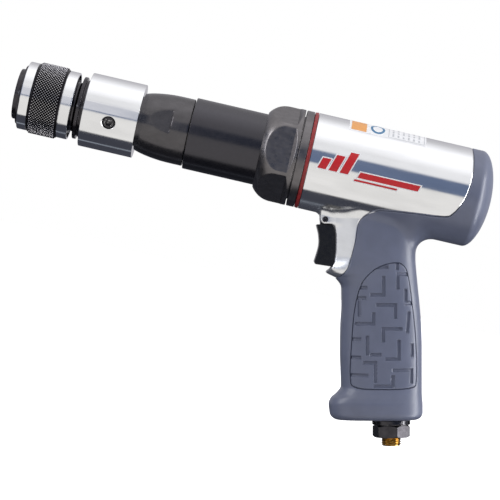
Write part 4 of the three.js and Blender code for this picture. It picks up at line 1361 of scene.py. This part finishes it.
def add_area(name, location, target, size, power, colour=(1, 1, 1)):
    data = bpy.data.lights.new(name, "AREA")
    data.shape = "RECTANGLE"
    data.size, data.size_y = size
    data.energy = power
    data.color = colour
    light = bpy.data.objects.new(name, data)
    light.location = location
    light.visible_camera = False
    light.rotation_euler = (Vector(target) - Vector(location)).to_track_quat("-Z", "Y").to_euler()
    bpy.context.scene.collection.objects.link(light)


SKY = (0.86, 0.86, 0.87)
ZENITH = (1.25, 1.25, 1.27)
BACKDROP = (0.5, 0.49, 0.52)
BAND = (0.13, 0.17, 0.27)
CREAM = (0.83, 0.815, 0.79)
SLATE = (0.05, 0.053, 0.068)
BENCH_EDGE = (0.3, 0.33, 0.38)
WHITE, BLACK = (1, 1, 1), (0, 0, 0)


def add_world():
    """Soft bands: a white ceiling, a grey-blue wall, a cream bench in front and a dark one behind."""
    world = bpy.data.worlds.new("Studio")
    bpy.context.scene.world = world
    world.use_nodes = True
    tree = world.node_tree
    tree.nodes.clear()
    place = add_node(tree, "TexCoord", {}).outputs["Generated"]
    split = add_node(tree, "SeparateXYZ", {0: place})

    def ramp(axis, low, high, stops):
        sockets = {"Value": split.outputs[axis], "From Min": low, "From Max": high}
        spread = add_node(tree, "MapRange", sockets).outputs["Result"]
        made = add_node(tree, "ValToRGB", {"Fac": spread})
        while len(made.color_ramp.elements) < len(stops):
            made.color_ramp.elements.new(0.5)
        for element, (at, colour) in zip(made.color_ramp.elements, stops):
            element.position = (at - low) / (high - low)
            element.color = (*colour, 1)
        return made.outputs["Color"]

    def mix(share, first, second):
        return add_node(tree, "Mix", {0: share, 6: first, 7: second}, data_type="RGBA").outputs[2]

    walls = ramp("Z", -0.2, 1.0, [
        (-0.12, CREAM), (-0.05, BAND), (0.40, BAND), (0.48, SKY), (0.7, SKY), (1.0, ZENITH)])
    bench = ramp("Y", -0.4, 0.6, [
        (-0.30, CREAM), (-0.24, SLATE), (0.36, SLATE), (0.42, BENCH_EDGE), (0.50, SLATE)])
    below = ramp("Z", -0.2, 0.0, [(-0.14, WHITE), (-0.10, BLACK)])
    behind = ramp("Y", 0.0, 1.0, [(0.02, BLACK), (1.0, WHITE)])
    above = ramp("Z", -0.2, 0.0, [(-0.10, BLACK), (-0.04, WHITE)])
    share = add_node(tree, "Math", {0: behind, 1: above}, operation="MULTIPLY").outputs[0]
    studio = mix(share, mix(below, walls, bench), (*BACKDROP, 1))
    lit = add_node(tree, "Background", {"Color": studio}).outputs[0]
    seen = add_node(tree, "Background", {"Color": (*WHITE, 1)}).outputs[0]
    by_camera = add_node(tree, "LightPath", {}).outputs["Is Camera Ray"]
    shown = add_node(tree, "MixShader", {0: by_camera, 1: lit, 2: seen}).outputs[0]
    add_node(tree, "OutputWorld", {0: shown})


def add_studio():
    bpy.context.scene.view_settings.view_transform = "Standard"
    add_world()
    add_floor()
    middle = Vector(VIEW_MIDDLE) * MM
    card_z = AXIS_Z * MM + 0.36
    add_area("Side", (1.0, -0.16, 0.1), middle, (0.5, 1.4), 15)
    add_area("Left", (-1.1, -0.4, 0.45), middle, (0.6, 0.7), 5)
    add_area("Card", (-0.60, -1.5, card_z), (-0.60, 0, card_z), (0.68, 0.78), 0.9, (1, 0.94, 0.84))


add_camera()
add_studio()
build_tool()
